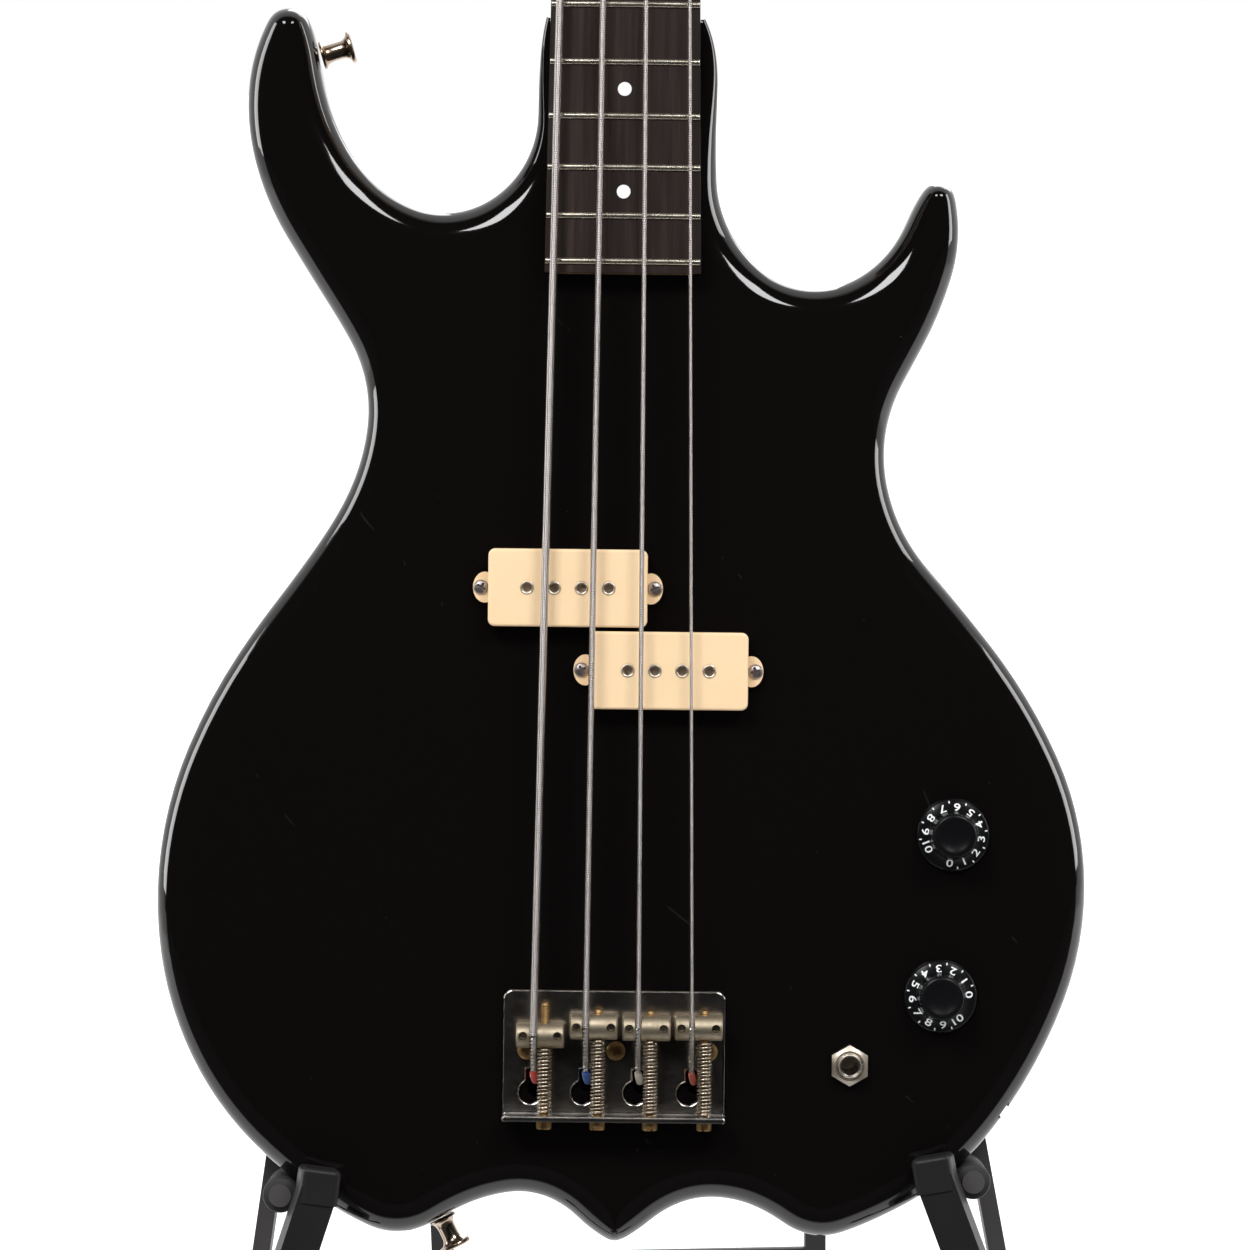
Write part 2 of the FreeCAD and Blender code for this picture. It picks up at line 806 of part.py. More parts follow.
def make_nut(frame):
    height = board_top + num(size.fret_height) + num(size.nut_lift) + 1.0 - board_bottom
    blank = box(size.nut_width, size.nut_length, height, 0, scale + num(size.nut_length) / 2, board_bottom)
    slots = []
    for name in STRINGS:
        centre = string_line(name)[1]
        radius = string_radius[name] + num(size.string_gap)
        start = scale - num(size.nut_length)
        slots.append(cylinder(radius, 3 * size.nut_length, centre.x, start, centre.z, axis=(0, 1, 0)))
        slots.append(box(2 * radius, 3 * size.nut_length, 4.0, centre.x, scale, centre.z))
    return finish(cut(blank, *slots), "nut", frame)


# ---------------------------------------------------------------- neck joint

def neck_plate_places():
    middle = board_end + num(size.heel_length) / 2
    reach_x = num(size.joint_plate_width) / 2 - num(size.joint_screw_inset)
    reach_y = num(size.joint_plate_length) / 2 - num(size.joint_screw_inset)
    return [(x, middle + y) for x in (-reach_x, reach_x) for y in (-reach_y, reach_y)]


def make_neck_plate(frame):
    body = new_body("neck_plate")
    thick = size.joint_plate_thickness
    sketch = sketch_on(body, "XY_Plane", body_back - num(thick))
    middle = board_end + num(size.heel_length) / 2
    polygon(sketch, rectangle(size.joint_plate_width, size.joint_plate_length, 0, middle))
    plate = pad(body, sketch, thick)
    doc.recompute()
    upright = edges_where(plate.Shape, lambda edge: edge.BoundBox.ZLength > 0.9 * num(thick))
    round_edges(body, plate, upright, size.joint_plate_corner)
    doc.recompute()
    holes = sketch_on(body, "XY_Plane", body_back - num(thick))
    for x, y in neck_plate_places():
        circle(holes, x, y, size.neck_screw_shank)
    pocket(body, holes, thick, True)
    return finish(body, "neck_plate", frame)


def make_neck_screws(frame):
    level = body_back - num(size.joint_plate_thickness)
    screws = [screw("neck", x, y, level, axis=(0, 0, 1)) for x, y in neck_plate_places()]
    return finish(group(*screws), "neck_screws", frame)


# ---------------------------------------------------------------- pickup

def make_pickup_cover(label, place, frame):
    """A moulded half of the split pickup, with a screw ear at each end."""
    x, y = place
    body = new_body(label)
    base = sketch_on(body, "XY_Plane")
    polygon(base, rectangle(size.cover_length, size.cover_width, x, y))
    block = pad(body, base, size.cover_height)
    doc.recompute()
    upright = edges_where(block.Shape, lambda edge: edge.BoundBox.ZLength > 1)
    corners = round_edges(body, block, upright, size.cover_corner)
    doc.recompute()
    height = num(size.cover_height)
    rim = edges_where(corners.Shape, lambda edge: edge.BoundBox.ZMin > height - 0.01)
    round_edges(body, corners, rim, 1.0)
    doc.recompute()
    inside = sketch_on(body, "XY_Plane")
    wall = size.cover_wall
    polygon(inside, rectangle(size.cover_length - 2 * wall, size.cover_width - 2 * wall, x, y))
    pocket(body, inside, size.cover_height - wall, True)
    ears = []
    for side in (-1, 1):
        edge = x + side * num(size.cover_length) / 2
        ear_x = edge + side * num(size.ear_reach) / 2
        ear = cylinder(size.ear_radius, size.ear_height, ear_x - side * 1.0, y, 0)
        hole = cylinder(size.pickup_screw_shank, size.ear_height + 2, ear_x, y, -1)
        inner = box(size.cover_length - 1, size.cover_width, 6.0, x, y, -1)
        ears.append(cut(ear, hole, inner))
    shell = fuse(body, *ears)
    poles = [cylinder(size.pole_radius, size.cover_height + 2, px, y, -1) for px in pole_xs(x)]
    return finish(cut(shell, *poles), label, frame)


def pole_xs(x):
    return [x + (i - 1.5) * num(size.pole_spacing) for i in range(4)]


def make_pickup_poles(frame):
    poles = []
    for x, y in pickup_places():
        for px in pole_xs(x):
            poles.append(cylinder(size.pole_radius, size.cover_height + size.pole_proud + 12, px, y, -12))
    return finish(group(*poles), "pickup_poles", frame)


def make_pickup_coils(frame):
    """Bobbins wound to a flat-sided coil that stands on the rout's floor."""
    coils = []
    straight = size.cover_length - 24
    floor, height = -size.rout_depth, size.cover_height - size.cover_wall + size.rout_depth - 4
    for x, y in pickup_places():
        middle = box(straight, 18.0, height, x, y, floor)
        ends = [cylinder(9.0, height, x + side * num(straight) / 2, y, floor) for side in (-1, 1)]
        holes = [cylinder(size.pole_radius, 40.0, px, y, -12) for px in pole_xs(x)]
        coils.append(cut(fuse(middle, *ends), *holes))
    return finish(group(*coils), "pickup_coils", frame)


def ear_places():
    places = []
    for x, y in pickup_places():
        for side in (-1, 1):
            places.append((x + side * (num(size.cover_length) + num(size.ear_reach)) / 2, y))
    return places


def make_pickup_screws(frame):
    screws = [screw("pickup", x, y, size.ear_height) for x, y in ear_places()]
    return finish(group(*screws), "pickup_screws", frame)


# ---------------------------------------------------------------- bridge

def plate_screw_places():
    return [(x, -8.0) for x in (-31.0, -17.0, 0.6, 20.5, 37.0)]


def intonation_x(name):
    return barrel_x[name] + adjuster_shift[name]


def barrel_height(name):
    line = string_line(name)[0]
    return line.z - bend_radius(name)


def make_bridge_plate(frame):
    """A plate folded up at the back into a flange, with keyholes for the ball ends."""
    body = new_body("bridge_plate")
    side = sketch_on(body, "YZ_Plane")
    front, back, thick, tall = size.plate_front, size.plate_back, size.plate_thickness, size.flange_height
    polygon(side, [
        (-back, 0), (front, 0), (front, thick), (thick - back, thick), (thick - back, tall), (-back, tall),
    ])
    fold = pad(body, side, size.plate_width, True)
    doc.recompute()
    upright = edges_where(
        fold.Shape,
        lambda edge: edge.BoundBox.ZLength > 1 and edge.BoundBox.ZMax < 3 and edge.BoundBox.YMin > 0,
    )
    corners = round_edges(body, fold, upright, size.plate_corner)
    doc.recompute()
    bend = edges_where(
        corners.Shape,
        lambda edge: edge.BoundBox.XLength > 60 and edge.BoundBox.YMax < -25 and edge.BoundBox.ZMax < 0.1,
    )
    round_edges(body, corners, bend, thick * 0.9)
    doc.recompute()
    holes = sketch_on(body, "XY_Plane")
    for name in STRINGS:
        circle(holes, saddle_x[name] - 1.0, -size.keyhole_back, size.keyhole_radius)
    for x, y in plate_screw_places():
        circle(holes, x, y, size.bridge_screw_shank)
    pocket(body, holes, thick * 3, True)
    slots = sketch_on(body, "XY_Plane")
    for name in STRINGS:
        reach = num(size.keyhole_back) - num(size.keyhole_front) + num(size.keyhole_slot)
        middle = -(num(size.keyhole_back) + num(size.keyhole_front) - num(size.keyhole_slot)) / 2
        x = saddle_x[name] + anchor_shift[name]
        polygon(slots, rectangle(2 * size.keyhole_slot, Size(reach), x, Size(middle)))
    pocket(body, slots, thick * 3, True)
    behind = -num(back) - 4
    bolts = [
        cylinder(
            size.intonation_radius, 10.0, intonation_x(name), behind, barrel_height(name), axis=(0, 1, 0)
        )
        for name in STRINGS
    ]
    return finish(cut(body, *bolts), "bridge_plate", frame)


def make_bridge_screws(frame):
    screws = [screw("bridge", x, y, size.plate_thickness) for x, y in plate_screw_places()]
    return finish(group(*screws), "bridge_screws", frame)


def saddle_screw_places():
    return [
        (name, barrel_x[name] + side * num(size.saddle_screw_spread), saddle_y[name])
        for name in STRINGS for side in (-1, 1)
    ]


def bend_radius(name):
    """How far a string's centre passes from its barrel's axis."""
    return num(size.saddle_radius) - num(size.groove_depth) + string_radius[name] + num(size.string_gap)


def make_saddles(frame):
    """Four barrels, each with a string groove, two height screws and a lengthwise screw."""
    saddles = []
    for name in STRINGS:
        height, length, radius = barrel_height(name), num(size.saddle_length), num(size.saddle_radius)
        left = barrel_x[name] - length / 2
        groove_at = saddle_x[name] - left
        bottom = bend_radius(name) - sqrt(2) * (string_radius[name] + num(size.string_gap))
        rim, bevel = radius - bottom, num(size.saddle_bevel)
        barrel = turned(f"saddle_{name}", [
            (0, 0), (radius - bevel, 0), (radius, bevel), (radius, groove_at - rim), (bottom, groove_at),
            (radius, groove_at + rim), (radius, length - bevel), (radius - bevel, length), (0, length),
        ])
        barrel.Placement = Placement(V(left, saddle_y[name], height), Rotation(V(0, 1, 0), 90))
        start = saddle_y[name] - 2 * radius
        bore = cylinder(size.intonation_radius, 4 * radius, intonation_x(name), start, height, axis=(0, 1, 0))
        grubs = [
            cylinder(size.saddle_screw_radius, 4 * radius, x, y, height - 2 * radius)
            for owner, x, y in saddle_screw_places() if owner == name
        ]
        saddles.append(cut(barrel, bore, *grubs))
    return finish(group(*saddles), "saddles", frame)


def make_saddle_screws(frame):
    screws = []
    for name, x, y in saddle_screw_places():
        foot = num(size.plate_thickness)
        screws.append(cylinder(size.saddle_screw_radius, barrel_height(name) + 2.0 - foot, x, y, foot))
    return finish(group(*screws), "saddle_height_screws", frame)


def make_intonation_screws(frame):
    screws = []
    for name in STRINGS:
        back = -num(size.plate_back)
        beyond = size.screw_reach_e if name == "e" else size.screw_reach
        reach = saddle_y[name] + num(size.saddle_radius) - back + num(beyond)
        x, height = intonation_x(name), barrel_height(name)
        head = cylinder(size.intonation_head, size.intonation_rise, x, back, height, axis=(0, -1, 0))
        screws.append(fuse(head, cylinder(size.intonation_radius, reach, x, back, height, axis=(0, 1, 0))))
    return finish(group(*screws), "intonation_screws", frame)


def make_saddle_springs(frame):
    """Coil springs between flange and saddle, drawn as their envelope."""
    springs = []
    for name in STRINGS:
        back = -num(size.plate_back) + num(size.plate_thickness)
        length = saddle_y[name] - num(size.saddle_radius) - back - 0.05
        x, z = intonation_x(name), barrel_height(name)
        outer = cylinder(size.spring_radius, length, x, back, z, axis=(0, 1, 0))
        inner = cylinder(size.spring_radius - size.spring_wire, length, x, back, z, axis=(0, 1, 0))
        springs.append(cut(outer, inner))
    return finish(group(*springs), "saddle_springs", frame)


# ---------------------------------------------------------------- strings

def bent_path(points, radii):
    """Straight runs joined by tangent arcs of the given radii."""
    edges, start = [], points[0]
    for i, radius in enumerate(radii, 1):
        into = points[i] - points[i - 1]
        out = points[i + 1] - points[i]
        into.normalize()
        out.normalize()
        turn = into.getAngle(out)
        reach = radius * tan(turn / 2)
        first, last = points[i] - into * reach, points[i] + out * reach
        inward = out - into
        inward.normalize()
        middle = points[i] + inward * (radius / cos(turn / 2) - radius)
        edges += [Part.makeLine(start, first), Part.Arc(first, middle, last).toShape()]
        start = last
    edges.append(Part.makeLine(start, points[-1]))
    return Part.Wire(edges)


def rod_along(path, radius):
    start = path.Edges[0]
    heading = start.tangentAt(start.FirstParameter)
    ring = Part.Wire(Part.makeCircle(radius, start.valueAt(start.FirstParameter), heading))
    return path.makePipeShell([ring], True, False)


def wrap_point(name):
    """Where the string leaves its post."""
    x, y = post_places()[name]
    side = 1 if x < 0 else -1
    return V(x + side * (num(size.post_radius) + string_radius[name] + 0.3), y, head_top + 6.0)


def string_anchor(name):
    """Where the string dives through its keyhole's slot."""
    return V(saddle_x[name] + anchor_shift[name], -num(size.keyhole_front) - num(size.anchor_setback), 0.6)


def string_path(name):
    """From the keyhole over the saddle, along the neck and over the nut to the post."""
    bridge_end, nut_end = string_line(name)
    slope = nut_end - bridge_end
    slope.normalize()
    anchor, corner = string_anchor(name), bridge_end
    for _ in range(6):
        turn = (corner - anchor).getAngle(slope)
        corner = bridge_end - slope * (bend_radius(name) * tan(turn / 2))
    after_nut = nut_end + slope * (num(size.nut_length) + 1)
    return bent_path([anchor, corner, after_nut, wrap_point(name)], [bend_radius(name), 12.0])


def make_string(name, frame):
    anchor = string_anchor(name)
    ball = sphere(size.ball_radius, anchor.x, anchor.y, anchor.z - 2.6)
    run = feature(rod_along(string_path(name), string_radius[name]), "string_run")
    return finish(fuse(run, ball), f"string_{name}", frame)


# ---------------------------------------------------------------- tuning machines

def post_places():
    """Bass strings on the left of the headstock, treble strings on the right."""
    near = scale + num(size.tuner_first)
    far = near + num(size.tuner_pitch)
    x = num(size.post_spacing)
    return {"e": (-x, near), "a": (-x, far), "d": (x, far), "g": (x, near)}


def tuner_side(name):
    return -1 if post_places()[name][0] < 0 else 1


worm_level = head_bottom - num(size.tuner_plate_thickness) - num(size.worm_gap) - num(size.worm_radius)
wheel_top = worm_level + num(size.wheel_thickness) / 2
worm_offset = num(size.wheel_radius) + num(size.worm_radius) + num(size.worm_gap)


def make_tuner_plates(frame):
    """Base plates on the back of the headstock, with two lugs that hold each worm shaft."""
    plates = []
    thick = size.tuner_plate_thickness
    for name, (x, y) in post_places().items():
        side = tuner_side(name)
        plate = box(
            size.tuner_plate_length, size.tuner_plate_width, thick, x + side * 2, y - 5, head_bottom - thick
        )
        low = worm_level - num(size.worm_shaft_radius) - 1.6
        first = (1 - num(size.lug_spread)) / 2
        lugs = [
            box(size.lug_thickness, size.lug_width, head_bottom - low, x + side * reach, y - worm_offset, low)
            for reach in (first, first + num(size.lug_spread))
        ]
        hole = cylinder(size.post_radius + 0.05, 10.0, x, y, head_bottom - 6)
        bore_radius = size.worm_shaft_radius + 0.05
        bore = cylinder(bore_radius, 40.0, x - 20, y - worm_offset, worm_level, axis=(1, 0, 0))
        screws = [
            cylinder(size.tuner_screw_shank, 10.0, sx, sy, head_bottom - 6)
            for sx, sy in tuner_screw_places(name)
        ]
        plates.append(cut(fuse(plate, *lugs), hole, bore, *screws))
    return finish(group(*plates), "tuner_plates", frame)


def tuner_screw_places(name):
    x, y = post_places()[name]
    side = tuner_side(name)
    return [(x - side * 13.5, y + 6.5), (x + side * 17.5, y + 6.5)]


def make_tuner_screws(frame):
    level = head_bottom - num(size.tuner_plate_thickness)
    screws = [
        screw("tuner", x, y, level, axis=(0, 0, 1)) for name in STRINGS for x, y in tuner_screw_places(name)
    ]
    return finish(group(*screws), "tuner_screws", frame)


def make_tuner_bushings(frame):
    bushings = []
    for x, y in post_places().values():
        outer = size.post_radius + size.bushing_wall
        sleeve = cylinder(outer, size.head_thickness, x, y, head_bottom)
        rim = cylinder(outer + size.bushing_rim, size.bushing_rim, x, y, head_top)
        bore = cylinder(size.post_radius + 0.05, size.head_thickness + 4, x, y, head_bottom - 1)
        bushings.append(cut(fuse(sleeve, rim), bore))
    return finish(group(*bushings), "tuner_bushings", frame)


def make_post(name, frame):
    """String post with its worm wheel below the headstock and the string's turns round it."""
    x, y = post_places()[name]
    stem_height = head_top + num(size.post_height) - wheel_top
    stem = cylinder(size.post_radius, stem_height, x, y, wheel_top)
    wheel = cylinder(size.wheel_radius, size.wheel_thickness, x, y, wheel_top - num(size.wheel_thickness))
    slot = box(2.6, 12.0, 8.0, x, y, head_top + num(size.post_height) - 7)
    return finish(cut(fuse(stem, wheel), slot), f"post_{name}", frame)


def paddle_face():
    """A key's clover-like outline in the XY plane, from its neck at the origin along X."""
    neck, half, length = num(size.key_neck) / 2, num(size.key_width) / 2, num(size.key_length)
    widest = 0.55 * length
    low, high = V(0, -neck, 0), V(0, neck, 0)
    low_side, high_side = V(widest, -half, 0), V(widest, half, 0)
    return Part.Face(Part.Wire([
        Part.Arc(low, V(0.3 * widest, -0.86 * half, 0), low_side).toShape(),
        Part.Arc(low_side, V(length, 0, 0), high_side).toShape(),
        Part.Arc(high_side, V(0.3 * widest, 0.86 * half, 0), high).toShape(),
        Part.makeLine(high, low),
    ]))


def make_key(name, frame):
    """Worm, shaft and flat key in one turned piece."""
    x, y = post_places()[name]
    side = tuner_side(name)
    level, thick = y - worm_offset, num(size.key_thickness)
    shaft = cylinder(size.worm_shaft_radius, 46.0, x - side * 13, level, worm_level, axis=(side, 0, 0))
    worm = cylinder(size.worm_radius, 19.0, x - side * 8.5, level, worm_level, axis=(side, 0, 0))
    paddle = paddle_face().extrude(V(0, 0, thick))
    paddle.translate(V(0, 0, -thick / 2))
    paddle.rotate(V(0, 0, 0), V(0, 0, 1), 90 - side * 90)
    paddle.translate(V(x + side * 31, level, worm_level))
    return finish(fuse(shaft, worm, feature(paddle, "paddle")), f"key_{name}", frame)


def make_string_retainer(frame):
    """A bar over the strings behind the nut."""
    y = scale + num(size.retainer_setback)
    tops = []
    for name in STRINGS:
        start, end = string_line(name)[1], wrap_point(name)
        share = (y - 4 - start.y) / (end.y - start.y)
        tops.append(start.z + share * (end.z - start.z) + string_radius[name] + 0.3)
    level = max(tops)
    bar = box(size.retainer_length, size.retainer_width, size.retainer_thickness, 0, y, level)
    spread = num(size.retainer_length) / 2 - num(size.retainer_post)
    posts = [cylinder(size.retainer_post, level - head_top, x, y, head_top) for x in (-spread, spread)]
    return finish(fuse(bar, *posts), "string_retainer", frame)


# ---------------------------------------------------------------- controls

def make_knob(label, place, frame):
    """A skirted knob: sloping dial, upright grip and a hollow underside for the nut."""
    low, tall = size.knob_gap, size.knob_height
    skirt, grip, bore = size.knob_radius, size.knob_top_radius, size.shaft_radius
    knob = turned(label, [
        (bore, low + 4), (skirt - 4, low + 4), (skirt - 4, low), (skirt, low), (skirt, low + 1.4),
        (grip + 0.6, low + 5.5), (grip, low + 7), (grip - 0.4, tall - 1), (grip - 1.4, tall), (0, tall),
        (0, tall - 2), (bore, tall - 2),
    ])
    return finish(knob, label, frame * Placement(V(place[0], place[1], 0), Rotation()))


def make_knob_shaft(label, place, frame):
    x, y = place
    floor = -num(size.cavity_wall) - num(size.pot_height)
    shaft = cylinder(size.shaft_radius, size.knob_height - 2 - floor - 3, x, y, floor + 3)
    return finish(shaft, label, frame)


def make_potentiometers(frame):
    pots = []
    wall = size.cavity_wall
    for x, y in knob_places():
        can = cylinder(size.pot_radius, size.pot_height, x, y, -wall - size.pot_height)
        bushing = cylinder(size.bushing_radius, wall + 3, x, y, -wall)
        tail = box(14.0, 8.0, 1.6, x, y - 13, -num(wall) - 3)
        floor = -num(wall) - num(size.pot_height) + 2.9
        bore = cylinder(size.shaft_radius + size.shaft_clearance, 40.0, x, y, floor)
        pots.append(cut(fuse(can, bushing, tail), bore))
    return finish(group(*pots), "potentiometers", frame)


def make_pot_nuts(frame):
    nuts = []
    for x, y in knob_places():
        prism = hex_prism(size.pot_nut_flats, size.pot_nut_height, x, y, 0)
        nuts.append(cut(prism, cylinder(size.bushing_radius, 8.0, x, y, -2)))
    return finish(group(*nuts), "pot_nuts", frame)


def hex_prism(flats, height, x, y, z):
    item = doc.addObject("Part::Prism", "prism")
    item.Polygon = 6
    bind(item, "Circumradius", flats / (2 * cos(pi / 6)))
    bind(item, "Height", height)
    return at(item, x, y, z, turn=30)


def make_jack(frame):
    x, y = size.jack_x, size.jack_y
    wall = size.cavity_wall
    barrel = cylinder(size.jack_barrel_radius, size.jack_barrel_length, x, y, -wall - size.jack_barrel_length)
    thread = cylinder(size.jack_thread, wall + 5.5, x, y, -wall)
    bore = cylinder(size.jack_bore, wall + 5.5 + 20, x, y, -wall - 20)
    return finish(cut(fuse(barrel, thread), bore), "output_jack", frame)


def make_jack_nut(frame):
    x, y = num(size.jack_x), num(size.jack_y)
    washer = cylinder(size.jack_washer_radius, size.jack_washer_height, x, y, 0)
    nut = hex_prism(size.jack_nut_flats, size.jack_nut_height, x, y, size.jack_washer_height)
    return finish(cut(fuse(washer, nut), cylinder(size.jack_thread, 9.0, x, y, -2)), "jack_nut", frame)


def make_capacitor(frame):
    """The tone capacitor, held on the tone potentiometer's back."""
    back = -num(size.cavity_wall) - num(size.pot_height)
    thick = size.capacitor_thickness
    drop = cylinder(size.capacitor_radius, thick, size.tone_x, size.tone_y, back - num(thick))
    return finish(drop, "tone_capacitor", frame)


def cover_screw_places():
    x, y = num(size.cavity_x), num(size.cavity_y)
    half_x, half_y = num(size.cavity_width) / 2, num(size.cavity_length) / 2
    reach = num(size.cover_lip) / 2
    return [
        (x + side_x * (half_x + reach), y + side_y * (half_y - 18))
        for side_x in (-1, 1) for side_y in (-1, 1)
    ] + [(x, y - half_y - reach), (x, y + half_y + reach)]


def make_control_cover(frame):
    x, y = num(size.cavity_x), num(size.cavity_y)
    lip = num(size.cover_lip) - 0.3
    length, width = num(size.cavity_width), num(size.cavity_length)
    body = new_body("control_cover")
    sketch = sketch_on(body, "XY_Plane", body_back)
    polygon(sketch, rectangle(length + 2 * lip, width + 2 * lip, x, y))
    plate = pad(body, sketch, size.cover_thickness)
    doc.recompute()
    upright = edges_where(plate.Shape, lambda edge: edge.BoundBox.ZLength > 1)
    round_edges(body, plate, upright, num(size.cavity_corner) + lip)
    doc.recompute()
    holes = sketch_on(body, "XY_Plane", body_back)
    for sx, sy in cover_screw_places():
        circle(holes, sx, sy, size.cover_screw_shank)
    pocket(body, holes, size.cover_thickness, True)
    return finish(body, "control_cover", frame)


def make_cover_screws(frame):
    screws = [screw("cover", x, y, body_back, axis=(0, 0, 1)) for x, y in cover_screw_places()]
    return finish(group(*screws), "cover_screws", frame)


# ---------------------------------------------------------------- strap buttons

# Foot of each button on the body's edge, and the way it points, in the bass frame's plane.
BUTTONS = (((-110.9, 345.5), 16.7), ((-62.6, -67.9), -63.5))


def button_seats():
    """The nearest point of the outline to each button's foot, at mid thickness."""
    edge = outline_face(OUTLINE).OuterWire
    seats = []
    for (x, y), heading in BUTTONS:
        spot = edge.distToShape(Part.Vertex(V(x, y, 0)))[1][0][0]
        turn = radians(heading)
        seats.append((V(spot.x, spot.y, body_back / 2), V(cos(turn), sin(turn), 0)))
    return seats


def make_strap_buttons(frame):
    buttons = []
    for i, (seat, heading) in enumerate(button_seats()):
        length, rim, waist = size.button_length, size.button_radius, size.button_waist
        button = turned(f"strap_button_{i}", [
            (0, 0), (rim - 0.8, 0), (rim - 0.8, 1.2), (waist, 4.2), (waist, length - 3.6),
            (rim, length - 1.4), (rim, length), (0, length),
        ])
        button.Placement = Placement(seat + heading * 0.6, Rotation(V(0, 0, 1), heading))
        buttons.append(button)
    return finish(group(*buttons), "strap_buttons", frame)


# ---------------------------------------------------------------- stand

splay = radians(num(size.leg_splay))
roller_b = num(size.roller_height)
roller_a = num(size.roller_spacing) / 2


def leg_a(b):
    """Distance of a leg's centre line from the middle at a height along the frame."""
    return roller_a + num(size.leg_offset) - (b - roller_b) * tan(splay)


leg_front = -num(size.leg_setback)
leg_middle = leg_front - num(size.leg_depth) / 2
cross_b = num(size.cross_height)
cross_c = -num(size.rest_radius) - 0.0


def leg_axis(side):
    """Unit vector up a leg."""
    return V(-side * sin(splay), cos(splay), 0)


def make_leg(label, side, frame):
    """A flat front leg with the roller's peg and the arm's lugs."""
    lean = radians(num(size.lean_angle))
    foot_b = (num(size.foot_sole) + 1.0 - (leg_front - num(size.leg_depth)) * sin(lean)) / cos(lean)
    length = (cross_b + 22 - foot_b) / cos(splay)
    bar = doc.addObject("Part::Box", "bar")
    bind(bar, "Length", size.leg_width)
    bind(bar, "Width", length)
    bind(bar, "Height", size.leg_depth)
    spin = Rotation(V(0, 0, 1), degrees(splay) * side)
    corner = spin.multVec(V(-num(size.leg_width) / 2, 0, 0))
    bar.Placement = Placement(V(side * leg_a(foot_b), foot_b, leg_front - num(size.leg_depth)) + corner, spin)
    peg = cylinder(size.peg_radius, size.body_thickness + 2 * 4, side * roller_a, roller_b, leg_front - 2)
    bracket = box(
        size.leg_offset + size.peg_radius, 2 * size.peg_radius, 8.0,
        side * (roller_a + num(size.leg_offset) / 2 - num(size.peg_radius) / 2), roller_b, leg_front - 8,
    )
    lugs = []
    up, half_lug = leg_axis(side), num(size.lug_depth) / 2
    for offset in (-1, 1):
        centre = arm_root(side) + up * (offset * (num(size.arm_width) / 2 + num(size.lug_gap) + half_lug))
        lug = cylinder(size.lug_radius, size.lug_depth, 0, 0, 0, axis=tuple(up))
        lug.Placement.Base = centre - up * half_lug
        web = doc.addObject("Part::Box", "web")
        bind(web, "Length", size.leg_width)
        bind(web, "Width", size.lug_depth)
        bind(web, "Height", size.arm_standoff + 1)
        corner = V(-num(size.leg_width) / 2, 0, -num(size.arm_standoff) - 1)
        web.Placement = Placement(centre - up * half_lug + spin.multVec(corner), spin)
        lugs += [lug, web]
    pin = cylinder(size.pin_radius, 60.0, 0, 0, 0, axis=tuple(up))
    pin.Placement.Base = arm_root(side) - up * 30
    tube = cylinder(size.cross_radius, 400.0, -200, cross_b, cross_c, axis=(1, 0, 0))
    leg = cut(fuse(bar, peg, bracket, *lugs), pin, tube)
    return finish(leg, label, frame)


def arm_root(side):
    """Centre of an arm's knuckle, in front of its leg."""
    b = roller_b - num(size.arm_root_drop)
    return V(side * leg_a(b), b, leg_front + num(size.arm_standoff))


def make_arm_pins(frame):
    pins = []
    length = num(size.arm_width) + 2 * (num(size.lug_gap) + num(size.lug_depth))
    for side in (-1, 1):
        pin = cylinder(size.pin_radius, length, 0, 0, 0, axis=tuple(leg_axis(side)))
        pin.Placement.Base = arm_root(side) - leg_axis(side) * (length / 2)
        pins.append(pin)
    return finish(group(*pins), "arm_pins", frame)


def arm_cap(end, way, across):
    """A soft hood over the end of an arm, rounded at its corners and its top."""
    wall, corner = num(size.cap_wall), num(size.cap_corner)
    length, reach = num(size.cap_length), num(size.cap_reach)
    wide, deep = num(size.arm_thickness) + 2 * wall, num(size.arm_width) + 2 * wall
    hood = Part.makeBox(wide, deep, length, V(-wide / 2, -deep / 2, reach - length))
    hood = hood.makeFillet(corner, [edge for edge in hood.Edges if edge.BoundBox.ZLength > 1])
    hood = hood.makeFillet(0.7 * corner, [edge for edge in hood.Edges if edge.BoundBox.ZMin > reach - 0.1])
    hood.Placement = Placement(end, Rotation(across, V(0, 0, 0), way, "ZXY"))
    return feature(hood, "arm_cap")


def make_arm(label, side, frame):
    """A bar that comes forward from its knuckle and rises in front of the body, with a capped end."""
    root, up = arm_root(side), leg_axis(side)
    half_w, half_t = num(size.arm_width) / 2, num(size.arm_thickness) / 2
    out = num(size.body_thickness) + num(size.rest_clearance) + num(size.arm_gap) + half_w
    end = V(side * (roller_a - num(size.arm_end_inset)), roller_b + num(size.arm_end_rise), out)
    elbow = V(root.x, root.y, out)
    path = bent_path([root, elbow, end], [num(size.arm_bend)])
    across = up.cross(V(0, 0, 1))
    corners = [
        root + across * (x * half_t) + up * (y * half_w) for x, y in ((-1, -1), (1, -1), (1, 1), (-1, 1))
    ]
    ring = Part.makePolygon(corners + corners[:1])
    bar = feature(path.makePipeShell([ring], True, False), "arm_bar")
    knuckle = cylinder(size.lug_radius, size.arm_width, 0, 0, 0, axis=tuple(up))
    knuckle.Placement.Base = root - up * half_w
    bore = cylinder(size.pin_radius + 0.05, 40.0, 0, 0, 0, axis=tuple(up))
    bore.Placement.Base = root - up * 20
    cap = arm_cap(end, up, bar_side(bar.Shape, end))
    return finish(cut(fuse(bar, knuckle, cap), bore), label, frame)


def bar_side(bar, end):
    """The way across the bar's front at its end face, which the sweep has turned a little."""
    face = min(bar.Faces, key=lambda item: (item.CenterOfMass - end).Length)
    sides = [edge.tangentAt(edge.FirstParameter) for edge in face.Edges]
    return max(sides, key=lambda item: item.x)


